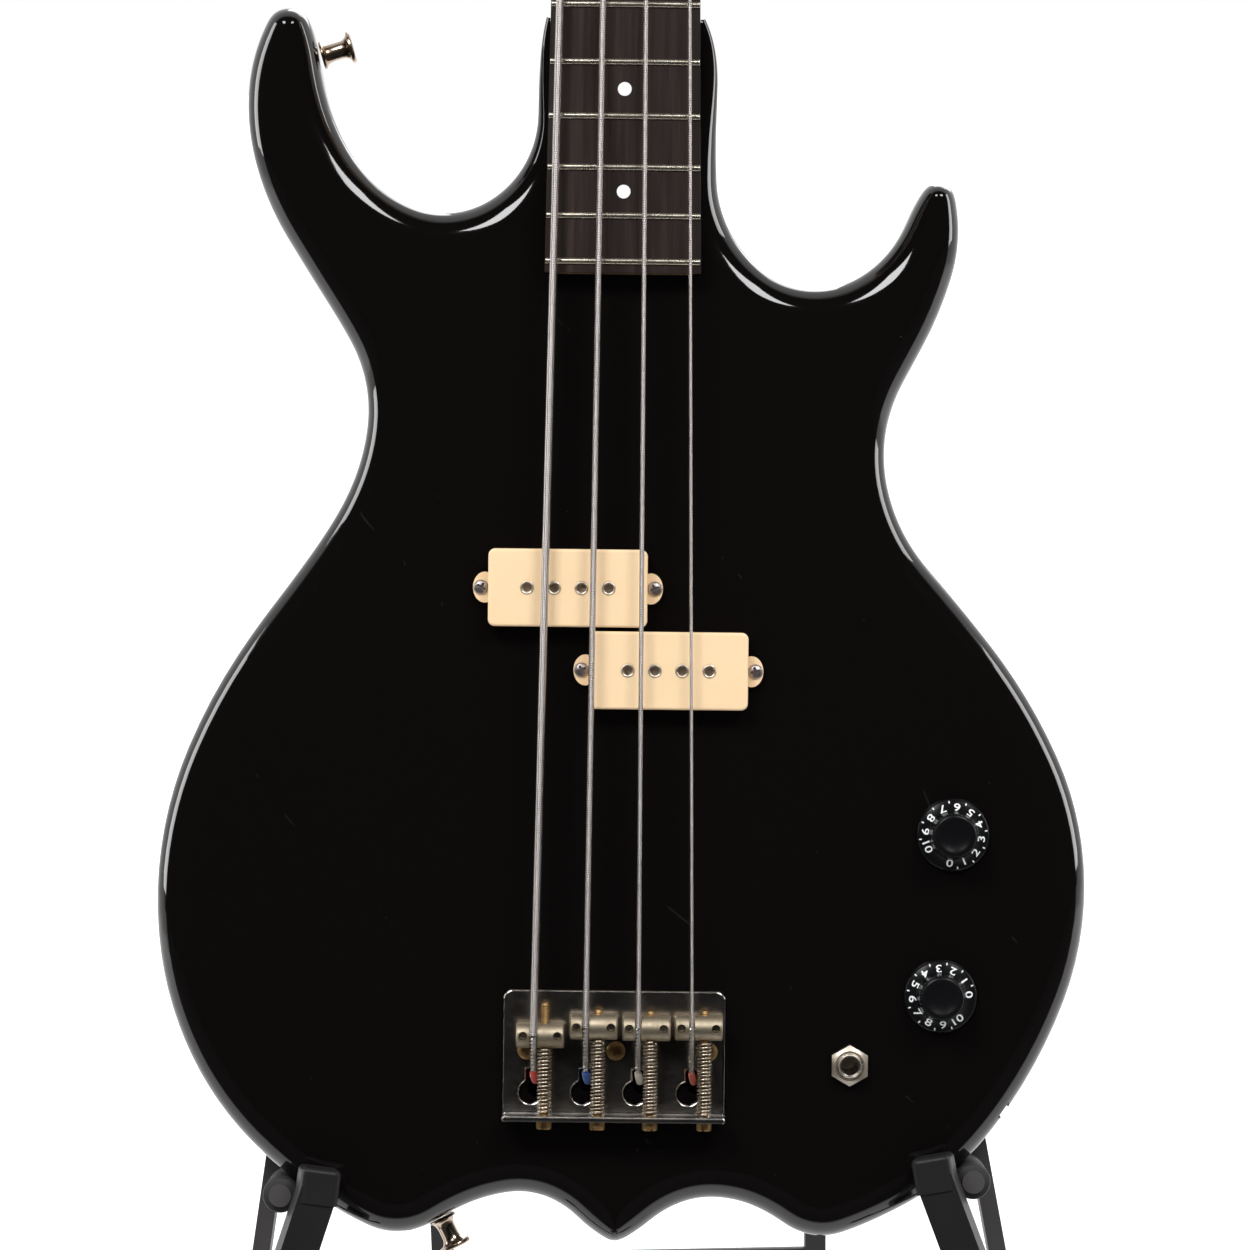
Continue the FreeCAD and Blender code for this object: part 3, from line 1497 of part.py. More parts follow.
def make_rollers(frame):
    rollers = []
    for side in (-1, 1):
        length = size.body_thickness + 2
        sleeve = cylinder(size.roller_radius, length, side * roller_a, roller_b, leg_front + 1.5)
        bore = cylinder(size.peg_radius, 80.0, side * roller_a, roller_b, leg_front - 20)
        rollers.append(cut(sleeve, bore))
    return finish(group(*rollers), "support_rollers", frame)


def make_cross_tube(frame):
    half = leg_a(cross_b) + num(size.leg_width) / 2 + 3
    tube = cylinder(size.cross_radius, 2 * half, -half, cross_b, cross_c, axis=(1, 0, 0))
    return finish(tube, "cross_tube", frame)


def make_back_rest(frame):
    half = num(size.rest_length) / 2
    foam = cylinder(size.rest_radius, 2 * half, -half, cross_b, cross_c, axis=(1, 0, 0))
    core = cylinder(size.cross_radius, 2 * half, -half, cross_b, cross_c, axis=(1, 0, 0))
    return finish(cut(foam, core), "back_rest", frame)


def make_rear_frame(hinge_frame):
    """Two rear legs that turn on the cross tube, joined by a spreader near the floor."""
    length = rear_length()
    pieces = []
    for side in (-1, 1):
        x = side * num(size.rear_spacing) / 2
        bar = box(size.rear_leg_width, size.rear_leg_depth, length, x, 0, -length)
        left = x - num(size.rear_leg_width) / 2
        eye = cylinder(size.cross_radius + 5, size.rear_leg_width, left, 0, 0, axis=(1, 0, 0))
        pieces += [bar, eye]
    spacing, drop = size.rear_spacing, size.spreader_drop
    spreader = cylinder(size.spreader_radius, spacing, -num(spacing) / 2, 0, -drop, axis=(1, 0, 0))
    bore = cylinder(size.cross_radius + 0.05, 400.0, -200, 0, 0, axis=(1, 0, 0))
    return finish(cut(fuse(*pieces, spreader), bore), "rear_frame", hinge_frame)


def hinge_height():
    lean = radians(num(size.lean_angle))
    return cross_b * cos(lean) + cross_c * sin(lean)


def rear_length():
    """From the hinge to the end of the bar inside its foot."""
    return hinge_height() / cos(radians(num(size.rear_opening))) - num(size.foot_sole) - 5


def make_feet(label, middles, legs):
    """Upright rubber boots that the leg ends stand in, in the floor's own frame."""
    boots = []
    for middle in middles:
        half_x, half_y = num(size.foot_width) / 2, num(size.foot_length) / 2
        corner = V(middle.x - half_x, middle.y - half_y, 0)
        boot = Part.makeBox(2 * half_x, 2 * half_y, num(size.foot_height), corner)
        upright = [edge for edge in boot.Edges if edge.BoundBox.ZLength > 1]
        boots.append(boot.makeFillet(6.0, upright).cut(legs))
    return finish(feature(Part.makeCompound(boots), label), label, Placement())


# ---------------------------------------------------------------- frames

def stand_frame():
    """The stand's sloping frame, standing on the floor."""
    return Placement(V(0, 0, 0), Rotation(V(1, 0, 0), 90 - num(size.lean_angle)))


def seated_bass():
    """The bass in the stand's frame: turned by its roll and let down onto both rollers."""
    edge = outline_face(OUTLINE).OuterWire
    spin = Rotation(V(0, 0, 1), -num(size.roll_angle))
    wanted = num(size.roller_radius) + num(size.rest_clearance)
    base = V(0, roller_b + 56, 0)
    for _ in range(25):
        frame = Placement(base, spin)
        gaps = []
        for side in (-1, 1):
            centre = frame.inverse().multVec(V(side * roller_a, roller_b, 0))
            distance, pairs, _ = edge.distToShape(Part.Vertex(centre))
            away = spin.multVec(centre - pairs[0][0])
            away.normalize()
            gaps.append((away, distance - wanted))
        (n1, e1), (n2, e2) = gaps
        det = n1.x * n2.y - n1.y * n2.x
        base = base + V((e1 * n2.y - e2 * n1.y) / det, (n1.x * e2 - n2.x * e1) / det, 0)
    lift = num(size.body_thickness) + num(size.rest_clearance)
    return Placement(V(base.x, base.y, lift), spin)


def hinge_frame():
    """The rear legs' frame: on the cross tube, with the legs straight down its -Z."""
    return Placement(
        stand_frame().multVec(V(0, cross_b, cross_c)), Rotation(V(1, 0, 0), num(size.rear_opening))
    )


def foot_middle(frame, point, heading):
    """Where a leg's centre line is half way up its foot."""
    start = frame.multVec(point)
    way = frame.Rotation.multVec(heading)
    return start + way * ((num(size.foot_height) / 2 - start.z) / way.z)


# ---------------------------------------------------------------- assembly

def build():
    stand = stand_frame()
    bass = stand * seated_bass()
    rear = hinge_frame()
    make_body(bass)
    make_neck(bass)
    make_truss_rod(bass)
    make_fretboard(bass)
    make_dots(bass)
    make_frets(bass)
    make_nut(bass)
    make_neck_plate(bass)
    make_neck_screws(bass)
    for label, place in zip(("upper_pickup_cover", "lower_pickup_cover"), pickup_places()):
        make_pickup_cover(label, place, bass)
    make_pickup_poles(bass)
    make_pickup_coils(bass)
    make_pickup_screws(bass)
    make_bridge_plate(bass)
    make_bridge_screws(bass)
    make_saddles(bass)
    make_saddle_screws(bass)
    make_intonation_screws(bass)
    make_saddle_springs(bass)
    for name in STRINGS:
        make_string(name, bass)
        make_post(name, bass)
        make_key(name, bass)
    make_tuner_plates(bass)
    make_tuner_screws(bass)
    make_tuner_bushings(bass)
    make_string_retainer(bass)
    for kind, place in zip(("volume", "tone"), knob_places()):
        make_knob(f"{kind}_knob", place, bass)
        make_knob_shaft(f"{kind}_shaft", place, bass)
    make_potentiometers(bass)
    make_pot_nuts(bass)
    make_jack(bass)
    make_jack_nut(bass)
    make_capacitor(bass)
    make_control_cover(bass)
    make_cover_screws(bass)
    make_strap_buttons(bass)
    legs = [make_leg(f"{word}_leg", side, stand) for word, side in (("left", -1), ("right", 1))]
    for word, side in (("left", -1), ("right", 1)):
        make_arm(f"{word}_arm", side, stand)
    make_arm_pins(stand)
    make_rollers(stand)
    make_cross_tube(stand)
    make_back_rest(stand)
    rear_legs = make_rear_frame(rear)
    doc.recompute()

    fronts = [
        foot_middle(stand, V(side * leg_a(0), 0, leg_middle), leg_axis(side)) for side in (-1, 1)
    ]
    leg_shapes = Part.makeCompound([leg.Shape.transformed(stand.toMatrix()) for leg in legs])
    make_feet("front_feet", fronts, leg_shapes)
    backs = [
        foot_middle(rear, V(side * num(size.rear_spacing) / 2, 0, 0), V(0, 0, -1)) for side in (-1, 1)
    ]
    make_feet("rear_feet", backs, rear_legs.Shape.transformed(rear.toMatrix()))


def place_all():
    """Puts each sub-part in its frame, with the whole part centred over the origin."""
    doc.recompute()
    boxes = []
    for item, frame in sub_parts:
        shape = item.Shape.copy()
        shape.Placement = frame * shape.Placement
        boxes.append(shape.optimalBoundingBox(False))
    middle_x = (min(b.XMin for b in boxes) + max(b.XMax for b in boxes)) / 2
    middle_y = (min(b.YMin for b in boxes) + max(b.YMax for b in boxes)) / 2
    shift = Placement(V(-middle_x, -middle_y, 0), Rotation())
    for item, frame in sub_parts:
        item.Placement = shift * frame * item.Placement
    doc.recompute()
    return shift


def check_and_write():
    for item in doc.Objects:
        if "Invalid" in item.State or "Error" in item.State:
            raise RuntimeError(f"{item.Label} failed")
    os.makedirs("parts", exist_ok=True)
    for item, _ in sub_parts:
        if item.Shape.isNull() or not item.Shape.isValid() or not item.Shape.Solids:
            raise RuntimeError(f"{item.Label} has no valid solid")
        item.Shape.exportStep(f"parts/{item.Label}.step")


build()
shift = place_all()
check_and_write()
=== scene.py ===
import json
import random
from math import atan2, cos, degrees, pi, radians, sin, sqrt, tan

import bmesh
import bpy
import numpy as np
from mathutils import Matrix, Vector


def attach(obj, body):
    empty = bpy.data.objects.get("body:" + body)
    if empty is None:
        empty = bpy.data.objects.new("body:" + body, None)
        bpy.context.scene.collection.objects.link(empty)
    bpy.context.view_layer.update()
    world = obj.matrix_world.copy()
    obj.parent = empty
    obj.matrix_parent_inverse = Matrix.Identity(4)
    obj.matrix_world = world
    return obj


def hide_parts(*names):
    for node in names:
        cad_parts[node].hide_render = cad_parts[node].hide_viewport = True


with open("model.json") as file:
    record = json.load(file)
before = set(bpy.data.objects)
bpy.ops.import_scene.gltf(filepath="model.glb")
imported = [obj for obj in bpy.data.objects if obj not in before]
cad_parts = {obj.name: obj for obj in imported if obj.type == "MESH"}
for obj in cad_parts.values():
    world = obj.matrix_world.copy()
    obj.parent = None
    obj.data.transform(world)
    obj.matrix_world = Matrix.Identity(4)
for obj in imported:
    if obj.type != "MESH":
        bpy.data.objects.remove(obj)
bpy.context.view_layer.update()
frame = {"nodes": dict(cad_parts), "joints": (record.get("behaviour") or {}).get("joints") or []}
nodes = frame["nodes"]
joints = {joint["name"]: joint for joint in frame["joints"]}
print("frame loaded:", len(nodes), "nodes")

# The bass is modelled in millimetres in its own axes: x to the thin strings, y up the neck from the
# saddles, z out of the front, with 0 on the body's face. bassHome carries that into the row's metres.
strings = ("e", "a", "d", "g")
scaleLength = 863.6
perMetre = 1000


def pointsOf(node):
    mesh = nodes[node].data
    flat = np.empty(len(mesh.vertices) * 3)
    mesh.vertices.foreach_get("co", flat)
    return flat.reshape(-1, 3) * perMetre


toTreble = Vector(joints["key_g_turn"]["axis"])
outOfFront = Vector(joints["volume_turn"]["axis"])
bassTurn = np.array((toTreble, outOfFront.cross(toTreble), outOfFront))
boardPoints = pointsOf("fretboard") @ bassTurn.T
bassZero = np.array((
    (boardPoints[:, 0].min() + boardPoints[:, 0].max()) / 2,
    (pointsOf("nut") @ bassTurn.T)[:, 1].min() - scaleLength,
    (pointsOf("bass_body") @ bassTurn.T)[:, 2].max(),
))
rowHome = Matrix.Scale(1 / perMetre, 4)
bassHome = rowHome @ Matrix(bassTurn.T.tolist()).to_4x4() @ Matrix.Translation(bassZero)


def inBass(node):
    return pointsOf(node) @ bassTurn.T - bassZero


class Solid:
    def __init__(self, points):
        self.low = Vector(points.min(0))
        self.high = Vector(points.max(0))
        self.mid = (self.low + self.high) / 2
        self.size = self.high - self.low


# A node's mesh with its doubles merged, carried back from the row into the axes of home.
def mergedMesh(node, home=bassHome, reach=1e-6):
    shape = bmesh.new()
    shape.from_mesh(nodes[node].data)
    bmesh.ops.remove_doubles(shape, verts=shape.verts, dist=reach)
    shape.transform(home.inverted())
    return shape


# Each separate solid of a node, left to right.
def solidsOf(node, home=bassHome):
    shape = mergedMesh(node, home)
    waiting = set(shape.verts)
    found = []
    while waiting:
        toVisit = [waiting.pop()]
        island = []
        while toVisit:
            vert = toVisit.pop()
            island.append(vert.co.copy())
            for link in vert.link_edges:
                other = link.other_vert(vert)
                if other in waiting:
                    waiting.discard(other)
                    toVisit.append(other)
        found.append(Solid(np.array(island)))
    shape.free()
    return sorted(found, key=lambda solid: (round(solid.mid.x, 1), solid.mid.y))


def enter(mode):
    bpy.ops.object.mode_set(mode=mode)


# Everything is deselected first, because an operator acts on all that is selected.
def pickOnly(*pieces):
    if bpy.context.object and bpy.context.object.mode != "OBJECT":
        enter("OBJECT")
    bpy.ops.object.select_all(action="DESELECT")
    for piece in pieces:
        piece.select_set(True)
    if pieces:
        bpy.context.view_layer.objects.active = pieces[0]


def named(name):
    piece = bpy.context.object
    piece.name = name
    piece.data.name = name
    return piece


def withModifier(piece, kind, **settings):
    pickOnly(piece)
    modifier = piece.modifiers.new(kind.lower(), kind)
    for key, value in settings.items():
        setattr(modifier, key, value)
    bpy.ops.object.modifier_apply(modifier=modifier.name)
    return piece


def softEdges(piece, width, segments, clamp=True):
    withModifier(piece, "BEVEL", width=width, segments=segments, limit_method="ANGLE",
                 angle_limit=radians(30), use_clamp_overlap=clamp)
    smooth(piece)
    return withModifier(piece, "WEIGHTED_NORMAL", keep_sharp=True)


def smooth(piece, angle=32):
    pickOnly(piece)
    bpy.ops.object.shade_smooth_by_angle(angle=radians(angle))
    return piece


def carve(piece, *cutters, operation="DIFFERENCE"):
    cutter = joined("cutter", cutters)
    withModifier(piece, "BOOLEAN", operation=operation, solver="EXACT", use_self=True, object=cutter)
    bpy.data.objects.remove(cutter)
    return piece


def moved(piece, matrix):
    piece.data.transform(matrix)
    return piece


def added(name, data):
    piece = bpy.data.objects.new(name, data)
    bpy.context.scene.collection.objects.link(piece)
    return piece


def twin(piece, name, matrix):
    return moved(added(name, piece.data.copy()), matrix)


def joined(name, pieces):
    pickOnly(*pieces)
    if len(pieces) > 1:
        bpy.ops.object.join()
    return named(name)


def shift(x, y, z):
    return Matrix.Translation(Vector((x, y, z)))


def facing(direction, at):
    return shift(*at) @ Vector(direction).to_track_quat("Z", "Y").to_matrix().to_4x4()


# Takes an upright piece to a solid's middle, at the level given.
def standing(piece, solid, level=0):
    return moved(piece, shift(*solid.mid.xy, level))


# Opens a piece in edit mode with nothing selected.
def openUp(piece):
    pickOnly(piece)
    enter("EDIT")
    bpy.ops.mesh.select_all(action="DESELECT")
    return bmesh.from_edit_mesh(piece.data)


def flipOutwards():
    bpy.ops.mesh.select_all(action="SELECT")
    bpy.ops.mesh.normals_make_consistent(inside=False)
    enter("OBJECT")


# A turned solid: a disc drawn up and scaled through (radius, height) steps.
def turned(name, profile, steps):
    pickOnly()
    (radius, height), *rest = profile
    bpy.ops.mesh.primitive_circle_add(vertices=steps, radius=radius, fill_type="NGON")
    enter("EDIT")
    bpy.ops.transform.translate(value=(0, 0, height))
    for nextRadius, nextHeight in rest:
        rise = (0, 0, nextHeight - height)
        bpy.ops.mesh.extrude_region_move(TRANSFORM_OT_translate={"value": rise})
        share = nextRadius / radius
        bpy.ops.transform.resize(value=(share, share, 1), center_override=(0, 0, nextHeight))
        radius, height = nextRadius, nextHeight
    flipOutwards()
    return smooth(named(name))


def block(name, size, at=(0, 0, 0)):
    pickOnly()
    bpy.ops.mesh.primitive_cube_add(size=1, location=at)
    enter("EDIT")
    bpy.ops.transform.resize(value=size, center_override=at)
    enter("OBJECT")
    bpy.ops.object.transform_apply()
    return named(name)


def hexagon(name, flats, height, level, turn=0.0):
    pickOnly()
    bpy.ops.mesh.primitive_cylinder_add(
        vertices=6, radius=flats / sqrt(3), depth=height, location=(0, 0, level), rotation=(0, 0, turn))
    return named(name)


# A slab of the plan outline given, drawn through (inset, height) steps by its points' own normals.
def drawn(name, plan, normals, steps):
    count = len(plan)
    pickOnly()
    bpy.ops.mesh.primitive_circle_add(vertices=count, radius=1, fill_type="NGON")
    piece = named(name)
    enter("EDIT")
    for number, (inset, height) in enumerate(steps):
        if number:
            bpy.ops.mesh.extrude_region_move()
        ring = np.empty((count, 3))
        ring[:, :2] = plan + normals * np.reshape(inset, (-1, 1))
        ring[:, 2] = height
        shape = bmesh.from_edit_mesh(piece.data)
        shape.verts.ensure_lookup_table()
        for vert, place in zip(shape.verts[-count:], ring):
            vert.co = place
    bmesh.update_edit_mesh(piece.data)
    flipOutwards()
    return piece


# A round rod along points, as a mesh.
def rod(name, points, radius, sides):
    curve = bpy.data.curves.new(name, "CURVE")
    curve.dimensions = "3D"
    curve.bevel_depth = radius
    curve.bevel_resolution = sides // 4 - 1
    curve.use_fill_caps = True
    line = curve.splines.new("POLY")
    line.points.add(len(points) - 1)
    for spot, place in zip(line.points, points):
        spot.co = (*place, 1)
    pickOnly(added(name, curve))
    bpy.ops.object.convert(target="MESH")
    return smooth(named(name), 60)


def helix(centre, radius, start, end, turns, first, steps=24):
    count = round(abs(turns) * steps)
    spots = []
    for i in range(count + 1):
        share = i / count
        angle = first + 2 * pi * turns * share
        level = start + (end - start) * share
        spots.append((centre[0] + radius * cos(angle), centre[1] + radius * sin(angle), level))
    return spots


# A copy of a CAD node's mesh, merged, in the row's millimetres.
def bareCopy(node):
    copy = twin(nodes[node], node + "Piece", Matrix.Scale(perMetre, 4))
    pickOnly(copy)
    enter("EDIT")
    bpy.ops.mesh.select_all(action="SELECT")
    bpy.ops.mesh.customdata_custom_splitnormals_clear()
    bpy.ops.mesh.remove_doubles(threshold=0.001)
    bpy.ops.mesh.dissolve_limited(angle_limit=radians(0.2))
    enter("OBJECT")
    for edge in copy.data.edges:
        edge.use_edge_sharp = False
    return copy


def dressed(node, width, segments):
    return softEdges(bareCopy(node), width, segments)


# Takes out the walls of the holes round the places given, and fills what is left open.
def closeHoles(piece, places, radius):
    for face in openUp(piece).faces:
        corners = [vert.co for vert in face.verts]
        near = any(all((corner - place).length < radius for corner in corners) for place in places)
        face.select_set(near)
    bmesh.update_edit_mesh(piece.data)
    bpy.ops.mesh.delete(type="FACE")
    bpy.ops.mesh.select_all(action="SELECT")
    bpy.ops.mesh.fill_holes(sides=0)
    enter("OBJECT")
    return piece


pieceCount = 0


# Gives a finished piece its place, finish and body, and hides the nodes that it stands for.
def settle(piece, finish, *replaced, body="bass", home=bassHome):
    global pieceCount
    moved(piece, home)
    piece.data.materials.clear()
    piece.data.materials.append(finish.material)
    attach(piece, body)
    if replaced:
        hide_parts(*replaced)
    pieceCount += 1


# A node's own shape with softened edges stands in for the node.
def settleNode(node, body, width, segments, finish):
    settle(dressed(node, width, segments), finish, node, body=body, home=rowHome)


# Finishes. A Field is one socket, and maths on it adds Math nodes.
class Field:
    def __init__(self, finish, socket):
        self.finish = finish
        self.socket = socket

    def maths(self, operation, other, flipped=False):
        pair = (other, self) if flipped else (self, other)
        return self.finish.node("Math", {"operation": operation}, {0: pair[0], 1: pair[1]})

    def __add__(self, other):
        return self.maths("ADD", other)

    def __rsub__(self, other):
        return self.maths("SUBTRACT", other, True)

    def __mul__(self, other):
        return self.maths("MULTIPLY", other)

    __radd__ = __add__
    __rmul__ = __mul__

    def __gt__(self, other):
        return self.maths("GREATER_THAN", other)

    def __lt__(self, other):
        return self.maths("LESS_THAN", other)


class Finish:
    def __init__(self, slot, name=None, **shader):
        self.slot = slot
        self.material = bpy.data.materials.new(name or slot)
        self.material.use_nodes = True
        self.tree = self.material.node_tree
        self.shader = self.tree.nodes["Principled BSDF"]
        for key, value in shader.items():
            self.shader.inputs[key.replace("_", " ")].default_value = value

    def node(self, kind, settings=None, links=None, out=0):
        made = self.tree.nodes.new("ShaderNode" + kind)
        for key, value in (settings or {}).items():
            if key == "stops":
                self.setStops(made.color_ramp, value)
            else:
                setattr(made, key, value)
        for key, value in (links or {}).items():
            if isinstance(value, Field):
                self.tree.links.new(value.socket, made.inputs[key])
            else:
                made.inputs[key].default_value = value
        return Field(self, made.outputs[out])

    def setStops(self, ramp, stops):
        while len(ramp.elements) < len(stops):
            ramp.elements.new(1.0)
        for element, (place, colour) in zip(ramp.elements, stops):
            element.position = place
            element.color = (*colour, 1)

    def feed(self, **inputs):
        for key, value in inputs.items():
            self.tree.links.new(value.socket, self.shader.inputs[key.replace("_", " ")])

    def ray(self, kind):
        return self.node("LightPath", out=f"Is {kind} Ray")

    # Object coordinates, turned so that y runs up the neck, in metres.
    def place(self, scale=(1, 1, 1)):
        spot = self.node("TexCoord", out="Object")
        own = self.node("Mapping", None, {"Vector": spot, "Rotation": Matrix(bassTurn.tolist()).to_euler()})
        return self.node("Mapping", None, {"Vector": own, "Scale": scale})

    def noise(self, where, scale, detail=3, rough=0.5):
        links = {"Vector": where, "Scale": scale, "Detail": detail, "Roughness": rough}
        return self.node("TexNoise", None, links, "Fac")

    def wave(self, where, scale, distortion=0.0, detailScale=1.0, bands="Y"):
        links = {"Vector": where, "Scale": scale, "Distortion": distortion, "Detail Scale": detailScale}
        return self.node("TexWave", {"bands_direction": bands}, links, "Fac")

    def ramp(self, factor, *stops):
        return self.node("ValToRGB", {"stops": stops}, {"Fac": factor}, "Color")

    # Black up to low, white from high.
    def mask(self, factor, low, high):
        return self.ramp(factor, (low, (0, 0, 0)), (high, (1, 1, 1)))

    # The Mix node's two colours are its sockets 6 and 7, and its mixed colour is output 2.
    def blend(self, factor, *colours):
        first, second = (value if isinstance(value, Field) else (*value, 1) for value in colours)
        return self.node("Mix", {"data_type": "RGBA"}, {"Factor": factor, 6: first, 7: second}, 2)

    def bumpy(self, height, strength, distance=0.0002, over=None):
        links = {"Height": height, "Strength": strength, "Distance": distance}
        if over:
            links["Normal"] = over
        return self.node("Bump", None, links)


# Black lacquer with haze, dust specks and a few faint scratches.
bodyLacquer = Finish("body_lacquer", IOR=1.5, Coat_IOR=1.5)
spot = bodyLacquer.place()
haze = bodyLacquer.mask(bodyLacquer.noise(spot, 9, 4, 0.6), 0.35, 0.75)
smear = bodyLacquer.noise(bodyLacquer.place((60, 8, 60)), 3, 5, 0.7)
speck = bodyLacquer.node("TexVoronoi", None, {"Vector": spot, "Scale": 120}, "Distance")
wisp = bodyLacquer.wave(spot, 5, 9, 0.5, "DIAGONAL")
dust = (speck < 0.02) * (smear > 0.52)
scratch = (wisp > 0.99985) * (smear > 0.6)
bodyLacquer.feed(
    Base_Color=bodyLacquer.blend(dust + scratch * 0.1, (0.0035, 0.0028, 0.0027), (0.075, 0.07, 0.065)),
    Roughness=haze * 0.03 + smear * 0.05 + 0.03,
    Normal=bodyLacquer.bumpy(bodyLacquer.noise(spot, 14, 2), 0.06, 0.002),
)


# Bare metal, cleaned where it is handled and dull where dust settles.
def metalFinish(slot, name, colour, dull, rough, grain, wear):
    metal = Finish(slot, name, Metallic=1.0)
    spot = metal.place()
    patches = metal.noise(spot, grain * 0.3, 6, 0.65)
    fine = metal.noise(spot, grain * 3, 3, 0.6)
    metal.feed(
        Base_Color=metal.blend(metal.mask(patches, 0.42, 0.68) * wear, colour, dull),
        Roughness=patches * rough + fine * rough * 0.5 + rough * 0.25,
        Normal=metal.bumpy(fine, 0.25, 0.00003, metal.bumpy(patches, 0.2, 0.0001)),
    )
    return metal


chrome = metalFinish("nickel", "plateChrome", (0.72, 0.69, 0.66), (0.40, 0.32, 0.24), 0.20, 160, 0.8)
nickel = metalFinish("nickel", "brightNickel", (0.74, 0.70, 0.64), (0.50, 0.43, 0.34), 0.3, 500, 0.6)
agedNickel = metalFinish(
    "aged_nickel", "saddleNickel", (0.50, 0.43, 0.32), (0.30, 0.24, 0.16), 0.54, 500, 0.8)
springSteel = metalFinish("nickel", "springSteel", (0.56, 0.49, 0.39), (0.36, 0.28, 0.19), 0.34, 900, 0.7)
screwBrass = metalFinish("brass", "screwBrass", (0.50, 0.32, 0.14), (0.24, 0.15, 0.07), 0.55, 900, 0.8)
plainSteel = metalFinish("steel", "plainSteel", (0.56, 0.54, 0.52), (0.33, 0.29, 0.26), 0.4, 600, 0.6)
coreSteel = metalFinish("string_metal", "coreSteel", (0.84, 0.81, 0.78), (0.60, 0.57, 0.54), 0.42, 900, 0.5)
poleNickel = metalFinish("steel", "poleNickel", (0.80, 0.70, 0.58), (0.52, 0.42, 0.32), 0.4, 600, 0.5)
jackNickel = metalFinish("nickel", "jackNickel", (0.82, 0.73, 0.62), (0.60, 0.50, 0.38), 0.42, 400, 0.6)
screwNickel = metalFinish("nickel", "screwNickel", (0.50, 0.45, 0.45), (0.26, 0.22, 0.22), 0.4, 700, 0.7)
buttonNickel = metalFinish("nickel", "buttonNickel", (0.52, 0.42, 0.33), (0.24, 0.15, 0.09), 0.24, 260, 0.9)
fretMetal = metalFinish("fret_metal", "fretMetal", (0.80, 0.74, 0.62), (0.55, 0.48, 0.36), 0.28, 800, 0.6)

# Round-wound strings: fine ribs across the string, with painted shade in the grooves between the ribs, and
# blotches of grime.
windings = Finish("string_metal", "windings", Metallic=1.0)
spot = windings.place()
ribsAndGrooveShade = windings.wave(spot, 520)
grime = windings.noise(spot, 240, 4, 0.6)
# The colour is darker in the grooves between the ribs: painted shade.
windings.feed(
    Base_Color=windings.blend(grime * 0.5 + ribsAndGrooveShade * 0.3, (0.33, 0.30, 0.285), (0.60, 0.555, 0.54)),
    Roughness=grime * 0.2 + 0.26,
    Normal=windings.bumpy(ribsAndGrooveShade, 0.5, 0.00015),
)

creamPlastic = Finish("cream_plastic", Subsurface_Weight=0.12, Subsurface_Radius=(0.004, 0.002, 0.001),
                      Subsurface_Scale=0.6, IOR=1.5)
spot = creamPlastic.place()
tint = creamPlastic.noise(spot, 38, 4, 0.55)
moulded = creamPlastic.noise(spot, 900, 3, 0.5)
creamPlastic.feed(
    Base_Color=creamPlastic.blend(tint, (0.80, 0.58, 0.35), (0.87, 0.65, 0.41)),
    Roughness=moulded * 0.14 + 0.26,
    Normal=creamPlastic.bumpy(moulded, 0.12, 0.00004),
)

boardWood = Finish("board_wood", IOR=1.45)
grain = boardWood.noise(boardWood.place((90, 3.2, 90)), 4, 8, 0.62)
pores = boardWood.noise(boardWood.place((900, 26, 900)), 3, 4, 0.7)
figure = boardWood.ramp(
    grain, (0.25, (0.010, 0.006, 0.005)), (0.55, (0.020, 0.012, 0.010)), (0.80, (0.042, 0.024, 0.017)))
boardWood.feed(
    Base_Color=boardWood.blend(boardWood.mask(pores, 0.56, 0.68) * 0.7, figure, (0.004, 0.002, 0.002)),
    Roughness=grain * 0.2 + pores * 0.14 + 0.16,
    Normal=boardWood.bumpy(pores, 0.3, 0.0001, boardWood.bumpy(grain, 0.1, 0.0002)),
)

neckWood = Finish("neck_wood", IOR=1.5, Coat_Roughness=0.12, Coat_Weight=0.6)
grain = neckWood.noise(neckWood.place((70, 2.4, 70)), 3, 8, 0.6)
flame = neckWood.noise(neckWood.place((6, 46, 14)), 2, 3, 0.5)
figure = neckWood.ramp(
    grain, (0.25, (0.36, 0.18, 0.065)), (0.55, (0.50, 0.28, 0.12)), (0.80, (0.60, 0.37, 0.18)))
neckWood.feed(
    Base_Color=neckWood.blend(flame * 0.45, figure, (0.62, 0.40, 0.21)),
    Roughness=grain * 0.15 + 0.28,
    Normal=neckWood.bumpy(grain, 0.08, 0.0002),
)


# Moulded or painted surfaces with a fine even texture.
def mouldedFinish(slot, name, colour, worn, rough, grain, depth=0.00006, bump=0.4, specular=0.5):
    plastic = Finish(slot, name, IOR=1.48, Specular_IOR_Level=specular)
    spot = plastic.place()
    fine = plastic.noise(spot, grain, 4, 0.6)
    patches = plastic.noise(spot, 24, 5, 0.6)
    plastic.feed(
        Base_Color=plastic.blend(patches, colour, worn),
        Roughness=patches * 0.18 + fine * 0.12 + rough,
        Normal=plastic.bumpy(fine, bump, depth),
    )
    return plastic


